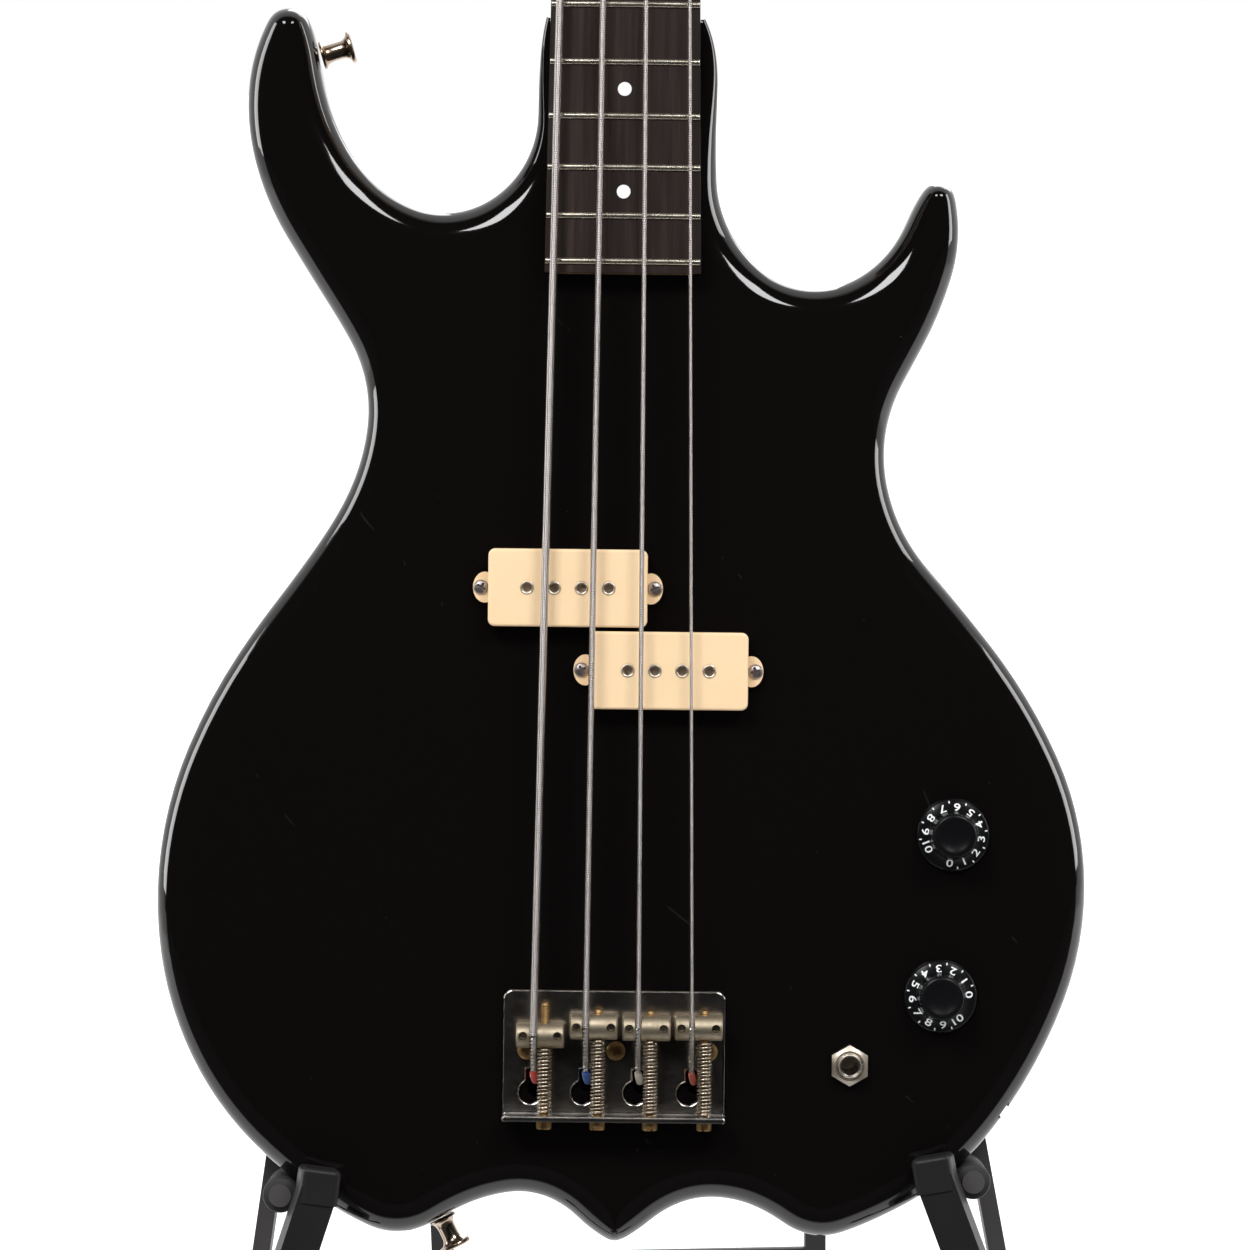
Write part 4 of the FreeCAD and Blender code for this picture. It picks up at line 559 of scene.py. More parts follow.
standPlastic = mouldedFinish(
    "stand_plastic", "standPlastic", (0.008, 0.0075, 0.008), (0.016, 0.015, 0.016), 0.3, 1500, specular=0.3)
legPlastic = mouldedFinish(
    "stand_plastic", "legPlastic", (0.045, 0.042, 0.043), (0.075, 0.070, 0.072), 0.34, 1500)
standPaint = mouldedFinish(
    "stand_steel", "standPaint", (0.014, 0.014, 0.015), (0.028, 0.028, 0.030), 0.26, 900)
softRubber = mouldedFinish(
    "rubber", "softRubber", (0.012, 0.012, 0.013), (0.030, 0.029, 0.028), 0.55, 1300, 0.0001)
sleeveFoam = mouldedFinish(
    "rubber", "sleeveFoam", (0.014, 0.014, 0.015), (0.032, 0.032, 0.033), 0.78, 1900, 0.0004, 0.9)
knobPlastic = mouldedFinish(
    "knob_plastic", "knobPlastic", (0.0025, 0.0025, 0.003), (0.006, 0.006, 0.007), 0.12, 300,
    0.00002, 0.1, 0.2)
coverPlastic = mouldedFinish(
    "black_plastic", "coverPlastic", (0.012, 0.012, 0.012), (0.022, 0.022, 0.022), 0.4, 1800)
coilTape = mouldedFinish(
    "coil_tape", "coilTape", (0.012, 0.011, 0.011), (0.03, 0.028, 0.026), 0.5, 1200)
dialPaint = mouldedFinish("pearl", "dialPaint", (0.84, 0.86, 0.86), (0.66, 0.68, 0.69), 0.4, 900, 0.00002)
dotPearl = mouldedFinish("pearl", "dotPearl", (0.80, 0.81, 0.80), (0.92, 0.92, 0.90), 0.16, 600, 0.00002)
nutBone = mouldedFinish("bone", "nutBone", (0.78, 0.72, 0.58), (0.88, 0.84, 0.72), 0.3, 900, 0.00003)


# Wrapped silk at the strings' ends, with painted shade between the threads.
def silkFinish(name, colour):
    silk = Finish("string_metal", name, Sheen_Weight=0.5, Sheen_Roughness=0.4)
    threads = silk.wave(silk.place(), 900, 1.5)
    # The colour darkened between the threads is painted shade.
    shadeBetweenThreads = tuple(value * 0.45 for value in colour)
    silk.feed(
        Base_Color=silk.blend(threads, shadeBetweenThreads, colour),
        Roughness=threads * 0.2 + 0.6,
        Normal=silk.bumpy(threads, 0.6, 0.0001),
    )
    return silk


silks = {
    "e": silkFinish("redSilk", (0.72, 0.06, 0.03)),
    "a": silkFinish("blueSilk", (0.03, 0.12, 0.46)),
    "d": silkFinish("paleSilk", (0.74, 0.68, 0.58)),
    "g": silkFinish("rustSilk", (0.62, 0.09, 0.04)),
}
print("finishes mixed:", len(bpy.data.materials))

# Camera square to the bass's face, a little right of its middle.
cameraView = {"aim": (2.2, 143.3, 0), "distance": 2200, "width": 444.4, "roll": 0.64, "clip": (0.05, 40)}
lens = bpy.data.cameras.new("camera")
lens.lens = lens.sensor_width * cameraView["distance"] / cameraView["width"]
lens.clip_start, lens.clip_end = cameraView["clip"]
camera = added("camera", lens)
bpy.context.scene.camera = camera
roll = Matrix.Rotation(radians(cameraView["roll"]), 4, "Z")
stance = bassHome @ shift(*cameraView["aim"]) @ roll @ shift(0, 0, cameraView["distance"])
camera.location = stance.to_translation()
camera.rotation_euler = stance.to_3x3().normalized().to_euler()

# Studio: pale floor, white surround behind the bass and darkness in front of it, and soft boxes.
studio = {
    "floor": 14.0, "floorColour": (0.50, 0.50, 0.50), "nearGlow": 0.66, "farGlow": 1.0, "surround": 0.45,
    "boxesAim": (0, 0, 0.5),
    "boxes": [
        ("keyBox", (-0.9, -1.7, 2.3), (1.0, 0.8), 41),
        ("fillBox", (1.0, -1.6, 2.2), (0.9, 0.7), 30),
        ("leftBox", (-2.2, 0.15, 1.0), (0.7, 1.4), 24),
        ("rightBox", (2.2, 0.15, 1.0), (0.7, 1.4), 22),
        ("rearBox", (0.6, 2.2, 1.6), (1.6, 1.4), 26),
    ],
}
pickOnly()
bpy.ops.mesh.primitive_plane_add(size=studio["floor"])
floor = named("floor")
floorFinish = Finish(None, "floorPaint", Roughness=0.9)
spot = floorFinish.node("TexCoord", out="Object")
patches = floorFinish.noise(spot, 3)
paler = tuple(value * 1.04 for value in studio["floorColour"])
seen, mirrored = floorFinish.ray("Camera"), floorFinish.ray("Glossy")
# In mirrors, the floor is dark ahead of the stand, like the room, and white beyond it.
across = floorFinish.node("SeparateXYZ", None, {"Vector": spot}, "Y")
behind = floorFinish.mask(across + 0.5, 0.19, 0.25)
plain = floorFinish.blend(patches, studio["floorColour"], paler)
floorFinish.feed(Base_Color=floorFinish.blend(mirrored * (1 - behind), plain, (0, 0, 0)))
reach = floorFinish.node("VectorMath", {"operation": "LENGTH"}, {0: spot}, "Value")
near, far = ((studio[key],) * 3 for key in ("nearGlow", "farGlow"))
shine = floorFinish.ramp(reach * 0.5, (0.30, near), (0.55, far))
strength = seen * shine + mirrored * behind * studio["nearGlow"]
glow = floorFinish.node("Emission", None, {"Strength": strength})
painted = Field(floorFinish, floorFinish.shader.outputs[0])
lit = floorFinish.node("AddShader", None, {0: painted, 1: glow})
floorFinish.tree.links.new(lit.socket, floorFinish.tree.nodes["Material Output"].inputs["Surface"])
floor.data.materials.append(floorFinish.material)


class Surround(Finish):
    def __init__(self):
        world = bpy.data.worlds.new("surround")
        world.use_nodes = True
        bpy.context.scene.world = world
        self.tree = world.node_tree


surround = Surround()
way = surround.node("TexCoord", out="Generated")
ahead = surround.node("SeparateXYZ", None, {"Vector": way}, "Y")
backdrop = surround.mask(ahead, 0.0, 0.20)
seen, mirrored, through = (surround.ray(kind) for kind in ("Camera", "Glossy", "Transmission"))
direct = surround.node("Math", {"operation": "MAXIMUM"}, {0: seen, 1: through})
strength = direct + (1 - direct) * (mirrored * backdrop + (1 - mirrored) * studio["surround"])
surround.tree.links.new(strength.socket, surround.tree.nodes["Background"].inputs["Strength"])
surround.tree.nodes["Background"].inputs["Color"].default_value = (1, 1, 1, 1)

for name, at, size, power in studio["boxes"]:
    lamp = bpy.data.lights.new(name, "AREA")
    lamp.shape = "RECTANGLE"
    lamp.size, lamp.size_y = size
    lamp.energy = power
    holder = added(name, lamp)
    holder.location = at
    way = Vector(studio["boxesAim"]) - Vector(at)
    holder.rotation_euler = way.to_track_quat("-Z", "Y").to_euler()
bpy.context.scene.view_settings.view_transform = "Standard"
print("studio set")

# The body is the CAD outline redrawn finely, with its long round edge.
bodyShape = {
    "samples": 1300, "blur": 0.9, "headingBlur": 1.0, "round": 11.0, "steps": 9, "tipShare": 0.9,
    "tipLimit": 0.96, "edgeBlur": 3.0, "flatRim": 1.2, "shoulderTaper": 70.0, "shoulderLeast": 0.2,
}


# The outer wall's points at the top of the side, from the left shoulder round to the right one.
def sideLoop():
    shape = mergedMesh("bass_body", reach=2e-6)
    levels = [vert.co.z for vert in shape.verts]
    wallHeight = 0.6 * (max(levels) - min(levels))
    walls = set()
    for edge in shape.edges:
        a, b = (vert.co for vert in edge.verts)
        if abs(a.z - b.z) > wallHeight and (a.xy - b.xy).length < 0.01:
            walls.add(max(edge.verts, key=lambda vert: vert.co.z))

    def along(vert, last=None):
        near = [edge.other_vert(vert) for edge in vert.link_edges]
        level = [other for other in near if abs(other.co.z - vert.co.z) < 0.01]
        return [other for other in level if other in walls and other is not last]

    shoulders = [vert for vert in walls if len(along(vert)) == 1 and vert.co.y > 300]
    here = min(shoulders, key=lambda vert: vert.co.x)
    trail, last = [here], None
    while along(here, last):
        last, here = here, along(here, last)[0]
        trail.append(here)
    points = np.array([vert.co.xy for vert in trail])
    shape.free()
    return points


def blurred(values, spread):
    reach = int(spread * 4)
    weights = np.exp(-0.5 * (np.arange(-reach, reach + 1) / spread) ** 2)
    weights /= weights.sum()
    before = 2 * values[:1] - values[1:reach + 1][::-1]
    after = 2 * values[-1:] - values[-reach - 1:-1][::-1]
    padded = np.concatenate([before, values, after])
    return np.apply_along_axis(np.convolve, 0, padded, weights, "valid")


def makeBody():
    shape = bodyShape
    trail = sideLoop()
    run = np.concatenate([[0], np.cumsum(np.linalg.norm(np.diff(trail, axis=0), axis=1))])
    places = np.linspace(0, run[-1], shape["samples"])
    plan = np.stack([np.interp(places, run, trail[:, i]) for i in (0, 1)], axis=1)
    spacing = run[-1] / (shape["samples"] - 1)
    plan = blurred(plan, shape["blur"] / spacing)
    heading = np.gradient(plan, axis=0)
    heading /= np.linalg.norm(heading, axis=1)[:, None]
    heading = blurred(heading, shape["headingBlur"] / spacing)
    heading /= np.linalg.norm(heading, axis=1)[:, None]
    inward = np.stack([-heading[:, 1], heading[:, 0]], axis=1)
    middle = plan.mean(0)
    if ((middle - plan) * inward).sum() < 0:
        inward = -inward

    # The largest circle inside the outline at each point limits the round edge at the horns' tips.
    room = np.full(len(plan), 1e3)
    for i in range(len(plan)):
        offset = plan - plan[i]
        across = offset @ inward[i]
        ahead = across > 1e-3
        room[i] = ((offset[ahead] ** 2).sum(1) / (2 * across[ahead])).min()
    fade = np.clip(np.minimum(places, run[-1] - places) / shape["shoulderTaper"], 0, 1)
    least = shape["shoulderLeast"]
    depth = shape["round"] * (least + (1 - least) * fade * fade * (3 - 2 * fade))
    width = blurred(np.minimum(depth, room * shape["tipShare"]), shape["edgeBlur"] / spacing)
    width = np.minimum(width, room * shape["tipLimit"])
    rim = width + np.minimum(shape["flatRim"], np.maximum(room - width, 0) * 0.5)
    thick = -inBass("bass_body")[:, 2].min()
    zero = np.zeros(len(plan))
    turns = [i * pi / 2 / shape["steps"] for i in range(shape["steps"] + 1)]
    upper = [(width * (1 - cos(turn)), depth * (sin(turn) - 1)) for turn in turns]
    lower = [(inset, -thick - height) for inset, height in reversed(upper)]
    return drawn("bodyPiece", plan, inward, [(rim, zero - thick), *lower, *upper, (rim, zero)])


# A block between two corners, with its upright edges rounded.
def roundedBlock(low, high, corner):
    low, high = Vector(low), Vector(high)
    piece = block("roundedBlock", high - low, (low + high) / 2)
    for edge in openUp(piece).edges:
        a, b = (vert.co for vert in edge.verts)
        edge.select_set(abs(a.z - b.z) > 1e-4)
    bmesh.update_edit_mesh(piece.data)
    bpy.ops.mesh.bevel(offset=corner, segments=8)
    enter("OBJECT")
    return piece


# Cutters stand out above the face and behind the back, so that no skin is left over a hole.
cutShape = {
    "above": 8.0, "behind": 3.0,
    "pocketGap": 0.2, "pocketTop": 12.0, "pocketRound": 3.0, "heel": 60.0, "past": 20.0,
    "rout": (9.0, 3.0), "routDepth": 18.0, "routRound": 3.0,
    "lip": 4.7, "coverGap": 0.25, "cavityRound": 16.0, "potRoom": 9.0,
    "hole": (4.9, 22.0), "pit": (3.0, 6.0), "pitAside": 3.0,
}
pickupCovers = ("upper_pickup_cover", "lower_pickup_cover")


def neckPocket():
    board, neck, wood = inBass("fretboard"), inBass("neck"), inBass("bass_body")
    start, end = board[:, 1].min(), board[:, 1].max()
    startHalf, endHalf = (board[abs(board[:, 1] - y) < 1.0][:, 0].max() for y in (start, end))
    taper = (endHalf - startHalf) / (end - start)
    gap, far = cutShape["pocketGap"], wood[:, 1].max() + cutShape["past"]
    bottom = neck[neck[:, 1] < start + cutShape["heel"]][:, 2].min() - gap
    rough = 10.0  # half the block's width before its sides follow the board
    low, high = (-rough, start - gap, bottom), (rough, far, cutShape["pocketTop"])
    pocket = roundedBlock(low, high, cutShape["pocketRound"])
    for vert in pocket.data.vertices:
        half = startHalf + taper * (vert.co.y - start) + gap
        vert.co.x += (half - rough) * (1 if vert.co.x > 0 else -1)
        if vert.co.y > far - 5:
            vert.co.y = far
    return pocket


# The places in the body that show: neck pocket, pickup routs, control cavity and its ledge, holes.
def bodyCutters():
    above, behind, lip, gap = (cutShape[key] for key in ("above", "behind", "lip", "coverGap"))
    cutters = [neckPocket()]
    for node in pickupCovers:
        cover = Solid(inBass(node))
        inset = Vector((*cutShape["rout"], 0))
        low, high = cover.low + inset, cover.high - inset
        low.z, high.z = -cutShape["routDepth"], above
        cutters.append(roundedBlock(low, high, cutShape["routRound"]))
    plate = Solid(inBass("control_cover"))
    wall = Solid(inBass("potentiometers")).high.z - cutShape["potRoom"]
    back, corner = plate.low.z - behind, cutShape["cavityRound"]
    for inset, front, extra in ((lip, wall, 0), (-gap, plate.high.z, lip)):
        low = (plate.low.x + inset, plate.low.y + inset, back)
        high = (plate.high.x - inset, plate.high.y - inset, front)
        cutters.append(roundedBlock(low, high, corner + extra))
    radius, depth = cutShape["hole"]
    for nut in solidsOf("pot_nuts") + solidsOf("jack_nut"):
        cutters.append(standing(turned("hole", [(radius, -depth), (radius, above)], 32), nut))
    radius, depth = cutShape["pit"]
    for spring in solidsOf("saddle_springs"):
        place = spring.mid.xy - Vector((1, 1)) * cutShape["pitAside"]
        cutters.append(moved(turned("pit", [(radius, -depth), (radius, above)], 24), shift(*place, 0)))
    return cutters


bodyPiece = makeBody()
carve(bodyPiece, *bodyCutters())
smooth(bodyPiece, 35)
settle(bodyPiece, bodyLacquer, "bass_body")
print("body drawn:", len(bodyPiece.data.vertices), "points")

# Pieces that keep the shape of their node: how wide and in how many steps their edges are rounded.
softened = {
    "neck": (0.6, 2, neckWood), "fretboard": (0.7, 3, boardWood), "frets": (0.25, 2, fretMetal),
    "nut": (0.3, 2, nutBone), "neck_plate": (0.4, 2, nickel), "string_retainer": (0.5, 2, nickel),
    "saddles": (0.35, 2, agedNickel), "output_jack": (0.4, 2, nickel), "tuner_plates": (0.4, 2, nickel),
    "tuner_bushings": (0.4, 2, nickel), "control_cover": (0.3, 2, coverPlastic),
    "pickup_coils": (0.5, 2, coilTape), "potentiometers": (0.4, 2, plainSteel),
    "pot_nuts": (0.2, 1, nickel),
}
for node, dressing in softened.items():
    settleNode(node, "bass", *dressing)

# The pickup covers, with their ears drawn in to short tabs.
coverShape = {"block": 28.3, "ear": 0.77, "edge": 0.3}
for node in pickupCovers:
    cover = moved(dressed(node, coverShape["edge"], 2), bassHome.inverted() @ rowHome)
    middle = Solid(inBass(node)).mid.x
    for vert in cover.data.vertices:
        away = abs(vert.co.x - middle) - coverShape["block"]
        if away > 0:
            vert.co.x -= away * (1 - coverShape["ear"]) * (1 if vert.co.x > middle else -1)
    settle(cover, creamPlastic, node)
for node, finish in {
    "position_dots": dotPearl, "truss_rod": plainSteel, "tone_capacitor": creamPlastic,
}.items():
    settleNode(node, "bass", 0.1, 1, finish)

# Three screws hold the bridge's plate, and the CAD's five holes in it are closed.
bridgeShape = {
    "screws": (-31.0, 0.6, 33.4), "holes": (-31.0, -17.0, 0.6, 20.5, 37.0), "holeReach": 2.7,
    "row": -8.0, "thick": 2.0, "rim": 0.8,
}
row, thick = bridgeShape["row"], bridgeShape["thick"]
holes = [rowHome.inverted() @ bassHome @ Vector((x, row, thick / 2)) for x in bridgeShape["holes"]]
plate = closeHoles(bareCopy("bridge_plate"), holes, bridgeShape["holeReach"])
softEdges(plate, bridgeShape["rim"], 3, clamp=False)
settle(plate, chrome, "bridge_plate", home=rowHome)
for name in strings:
    settleNode("post_" + name, "post_" + name, 0.3, 2, nickel)
    settleNode("key_" + name, "key_" + name, 0.6, 3, nickel)
print("plain nodes softened")


# Each kind of screw is modelled once, upright on its head's underside, and copied.
def domedScrew(name, radius, height, slot, shank, reach):
    width, length, depth = slot
    turns = [radians(turn) for turn in range(0, 81, 10)]
    dome = [(radius * cos(turn), height * (0.25 + 0.75 * sin(turn))) for turn in turns]
    neck = [(shank, -reach), (shank, 0), (radius * 0.96, 0), (radius, height * 0.12)]
    arms = ((length, width, depth * 2), (width, length, depth * 2))
    cross = [block("slotArm", size, (0, 0, height)) for size in arms]
    return smooth(carve(turned(name, neck + dome, 36), *cross), 40)


def threadSteps(radius, start, end, pitch, bite):
    count = round((end - start) / pitch)
    step = (end - start) / count
    steps = []
    for i in range(count):
        steps += [(radius, start + step * (i + 0.35)), (radius - bite, start + step * (i + 0.85))]
    return steps


# Head radius and height, slot (width, length, depth), shank radius, reach, seen from the back, finish.
screwKinds = {
    "pickup_screws": (2.65, 1.5, (0.8, 3.4, 1.1), 1.6, 14, False, screwNickel),
    "bridge_screws": (3.4, 1.8, (0.7, 3.6, 1.0), 2.1, 18, False, screwBrass),
    "neck_screws": (4.2, 2.4, (0.8, 4.6, 1.3), 2.3, 38, True, nickel),
    "tuner_screws": (2.3, 1.2, (0.5, 2.8, 0.7), 1.4, 9, True, nickel),
    "cover_screws": (2.4, 0.6, (0.5, 2.8, 0.4), 1.5, 12, True, plainSteel),
}
dice = random.Random(7)
for node, (*form, fromBack, finish) in screwKinds.items():
    pattern, height = domedScrew(node + "Pattern", *form), form[1]
    places = [(*solid.mid.xy, solid.low.z + height if fromBack else solid.high.z - height)
              for solid in solidsOf(node)]
    if node == "bridge_screws":
        places = [(x, row, thick) for x in bridgeShape["screws"]]
    copies = []
    for place in places:
        stand = shift(*place) @ Matrix.Rotation(pi if fromBack else 0, 4, "X")
        spin = Matrix.Rotation(dice.uniform(0, pi), 4, "Z")
        copies.append(twin(pattern, node + "Copy", stand @ spin))
    bpy.data.objects.remove(pattern)
    settle(joined(node + "Piece", copies), finish, node)
print("screws cut")

# Pole pieces with a rounded ring round a hexagonal socket.
poleShape = {
    "radius": 2.5, "flats": 2.9, "socket": 5.0,
    "ring": ((0, 0.55), (0.08, 0.25), (0.25, 0.07), (0.45, 0), (0.65, 0.07), (0.9, 0.32)),
}


def makePole(solid):
    length, radius = solid.size.z, poleShape["radius"]
    ring = [(radius - inset, length - below) for inset, below in poleShape["ring"]]
    pole = turned("pole", [(radius, 0), *ring], 36)
    turn = dice.uniform(0, pi / 3)
    socket = hexagon("socket", poleShape["flats"], poleShape["socket"] * 2, length, turn)
    return standing(carve(pole, socket), solid, solid.low.z)


# Height screws stand a little below the CAD's top, with a hexagonal socket.
heightScrew = {"radius": 1.47, "sunk": 0.7, "flats": 1.5, "socket": 1.6, "pitch": 0.5, "bite": 0.14}


def makeHeightScrew(solid):
    radius, length = heightScrew["radius"], solid.size.z - heightScrew["sunk"]
    thread = threadSteps(radius, 0.3, length - 0.4, heightScrew["pitch"], radius * heightScrew["bite"])
    ends = [(radius * 0.98, length - 0.3), (radius * 0.82, length)]
    grub = turned("heightScrew", [(radius * 0.6, 0), *thread, *ends], 28)
    socket = hexagon("socket", heightScrew["flats"], heightScrew["socket"] * 2, length)
    return standing(smooth(carve(grub, socket), 40), solid, solid.low.z)


springShape = {"wire": 0.40, "pitch": 1.3, "sides": 8}


def makeSpring(solid):
    length, wire = solid.size.y, springShape["wire"]
    turns = round(length / springShape["pitch"])
    coil = helix((0, 0), solid.size.x / 2 - wire, wire, length - wire, turns, dice.uniform(0, 6), 20)
    lying = shift(solid.mid.x, solid.high.y, solid.mid.z) @ Matrix.Rotation(pi / 2, 4, "X")
    return moved(rod("spring", coil, wire, springShape["sides"]), lying)


# Intonation screws: a round head, slotted, on a long thread.
leadScrew = {"head": 2.7, "headLength": 3.0, "thread": 1.45, "pitch": 0.7, "bite": 0.22, "slot": (0.7, 1.8)}


def makeLeadScrew(solid):
    length, head = solid.size.y, leadScrew["head"]
    tail, thread = leadScrew["headLength"], leadScrew["thread"]
    bolt = turned("bolt", [
        (head - 0.5, 0), (head - 0.15, 0.15), (head, 0.5),
        (head, tail - 0.3), (head - 0.2, tail), (thread, tail),
        *threadSteps(thread, tail + 0.2, length - 0.5, leadScrew["pitch"], leadScrew["bite"]),
        (0.9, length),
    ], 28)
    slot = block("slot", (head * 3, *leadScrew["slot"]))
    moved(slot, Matrix.Rotation(dice.uniform(0, pi), 4, "Z"))
    lying = shift(solid.mid.x, solid.low.y, solid.mid.z) @ Matrix.Rotation(-pi / 2, 4, "X")
    return moved(smooth(carve(bolt, slot), 40), lying)


def settleEach(name, make, finish, node, body="bass"):
    settle(joined(name, [make(solid) for solid in solidsOf(node)]), finish, node, body=body)


settleEach("pickupPolesPiece", makePole, poleNickel, "pickup_poles")
settleEach("heightScrewsPiece", makeHeightScrew, nickel, "saddle_height_screws")
settleEach("springsPiece", makeSpring, springSteel, "saddle_springs")
settleEach("intonationPiece", makeLeadScrew, screwBrass, "intonation_screws")
print("poles and bridge hardware made")

# Strings: wound run, twisted core and silk at the ball end, turns on the post.
stringShape = {
    "twistRadius": {"e": 0.54, "a": 0.50, "d": 0.46, "g": 0.44}, "twistPitch": 3.4, "heel": (-15.4, 2.9),
    "bulge": 1.1, "silkLength": 4.2, "silkRadius": {"e": 1.5, "a": 1.45, "d": 1.35, "g": 1.2},
    "silkAway": (0.9, -3.4), "turns": {"e": 2.6, "a": 3.1, "d": 3.6, "g": 4.4}, "stem": 4.75, "clear": 0.05,
}


# The long straight run's two ends and its radius, from the node's longest edges.
def longRun(node):
    shape = mergedMesh(node)
    lows, highs = set(), set()
    for edge in shape.edges:
        if edge.calc_length() > 500:
            low, high = sorted(edge.verts, key=lambda vert: vert.co.y)
            lows.add(low)
            highs.add(high)
    low, high = (sum((vert.co for vert in group), Vector()) / len(group) for group in (lows, highs))
    radius = max((vert.co - low).length for vert in lows)
    shape.free()
    return low, high, radius


# Two strands wound round each other from the saddle down to the heel.
def makeTwist(name, start, heel, steps=59):
    radius = stringShape["twistRadius"][name]
    along = (heel - start).normalized()
    aside = along.cross(Vector((0, 0, 1))).normalized()
    across = along.cross(aside)
    turns = (heel - start).length / stringShape["twistPitch"]
    strands = []
    for first in (0, pi):
        spots = []
        for i in range(steps + 1):
            share = i / steps
            turn = 2 * pi * share * turns + first
            place = start.lerp(heel, share) + Vector((0, 0, stringShape["bulge"] * sin(pi * share)))
            spots.append(place + (aside * cos(turn) + across * sin(turn)) * radius * 0.98)
        strands.append(rod("strand", spots, radius, 8))
    return joined("stringTwist_" + name, strands)


# Silk that narrows towards both of its ends.
def makeSilk(name, heel):
    length = stringShape["silkLength"]
    aside, down = stringShape["silkAway"]
    end = heel + Vector((aside, -length, down))
    path = [heel.lerp(end, i / 8) for i in range(9)]
    silk = rod("stringSilk_" + name, path, stringShape["silkRadius"][name], 14)
    for vert in silk.data.vertices:
        share = (heel.y - vert.co.y) / length
        centre = heel.lerp(end, max(0, min(1, share)))
        narrow = 0.62 + 0.38 * sin(pi * max(0, min(1, share * 0.62 + 0.2)))
        vert.co = centre + (vert.co - centre) * narrow
    return silk


def makeString(name):
    node = "string_" + name
    low, high, radius = longRun(node)
    post = Solid(inBass("post_" + name))
    side = 1 if post.mid.x < 0 else -1
    ring = stringShape["stem"] + radius + stringShape["clear"]
    level = high.z - 0.4
    tangent = Vector((post.mid.x + side * ring, post.mid.y, level))
    run = [low, low.lerp(high, 0.5), high, high.lerp(tangent, 0.12), tangent]
    settle(rod(node + "Piece", run, radius, 20), windings, node)
    heel = Vector((low.x, *stringShape["heel"]))
    settle(makeTwist(name, low, heel), coreSteel)
    settle(makeSilk(name, heel), silks[name])
    turns = stringShape["turns"][name]
    top = level + (2 * radius + 0.08) * turns
    spiral = helix(post.mid.xy, ring, level, top, turns * side, 0.0 if side == 1 else pi)
    end, centre = Vector(spiral[-1]), Vector((*post.mid.xy, top + 1.2))
    tail = [end.lerp(centre, share) + Vector((0, 0, sin(pi * share))) for share in (0.25, 0.5, 0.8)]
    tail.append(centre - Vector((0, 0, 5)))
    wraps = rod("stringTurns_" + name, spiral + tail, radius * 0.98, 12)
    settle(wraps, windings, body="post_" + name)


for name in strings:
    makeString(name)
print("strings strung")

# Control knobs: skirted, with painted numbers 0 to 10, and pale marks between them that are painted
# reflections of the numbers.
knobShape = {
    "grip": 8.3, "fluteStep": 3.75, "flute": 0.975, "dialEdge": (12.2, 1.95), "slope": 24.1,
    "numberRing": 10.15, "numberSize": 4.216, "numberWidth": (1.22, 0.96), "raised": 0.04, "bold": 0.05,
    # The pale marks on the outer ring are painted reflections of the numbers.
    "reflectionRing": 11.75, "numberReflection": (0.95, 0.45, 0.08), "stepAngle": 30.0,
    "zeroAt": {"volume": 263.0, "tone": 5.0},
}


# A place on the dial's cone, with x away from the middle and z out of the cone.
def onDial(cad, steps, kind, ring):
    edge, level = knobShape["dialEdge"]
    slope = radians(knobShape["slope"])
    angle = radians(knobShape["zeroAt"][kind] + knobShape["stepAngle"] * steps)
    out = Matrix.Rotation(angle, 4, "Z") @ shift(ring, 0, cad.low.z + level + (edge - ring) * tan(slope))
    return shift(*cad.mid.xy, 0) @ out @ Matrix.Rotation(slope, 4, "Y")


def makeNumber(number):
    bpy.ops.object.text_add()
    digits = named("number").data
    digits.body = str(number)
    digits.align_x = digits.align_y = "CENTER"
    digits.size = knobShape["numberSize"]
    digits.extrude = knobShape["raised"]
    digits.offset = knobShape["bold"]
    digits.resolution_u = 4
    pickOnly(bpy.context.object)
    bpy.ops.object.convert(target="MESH")
    upright = Matrix.Rotation(pi / 2, 4, "Z")
    return moved(bpy.context.object, upright @ Matrix.Diagonal((*knobShape["numberWidth"], 1, 1)))


def makeKnob(kind):
    cad = Solid(inBass(kind + "_knob"))
    low, tall, skirt, grip = cad.low.z, cad.high.z, cad.size.x / 2, knobShape["grip"]
    edge, level = knobShape["dialEdge"]
    bottom = [(4.0, 3.2), (3.4, 0), (0.5, 0), (0.15, 0.15), (0, 0.5), (0.1, 1.2), (0.4, 1.7)]
    stalk = [(-0.55, 3.45), (-0.2, 3.9), (-0.05, 5.0), (0.1, 7.0)]
    crown = [(0.35, 1.4), (0.55, 0.7), (0.95, 0.25), (1.5, 0.05), (2.2, 0), (2.8, 0.1), (3.6, 0.45)]
    knob = turned(kind + "KnobPiece", [
        *((skirt - inset, low + up) for inset, up in bottom), (edge, low + level),
        *((grip - inset, low + up) for inset, up in stalk),
        *((grip - inset, tall - down) for inset, down in crown), (2.2, tall - 0.75), (0.4, tall - 0.8),
    ], 96)
    for vert in knob.data.vertices:
        onSide = grip - 0.6 < vert.co.xy.length < grip + 0.4 and low + 5.0 < vert.co.z < tall - 0.5
        if onSide and round(degrees(atan2(vert.co.y, vert.co.x)) / knobShape["fluteStep"]) % 2:
            vert.co.xy *= knobShape["flute"]
    standing(knob, cad)
    marks = []
    for number in range(11):
        marks.append(moved(makeNumber(number), onDial(cad, number, kind, knobShape["numberRing"])))
        # A pale mark between each two numbers: a painted reflection of the numbers.
        if number < 10:
            numberReflection = block("numberReflection", knobShape["numberReflection"])
            marks.append(moved(numberReflection, onDial(cad, number + 0.5, kind, knobShape["reflectionRing"])))
    control = kind + "_control"
    settle(knob, knobPlastic, kind + "_knob", body=control)
    settle(joined(kind + "Numbers", marks), dialPaint, body=control)
    settleNode(kind + "_shaft", control, 0.2, 2, plainSteel)


for kind in ("volume", "tone"):
    makeKnob(kind)
print("knobs turned and numbered")

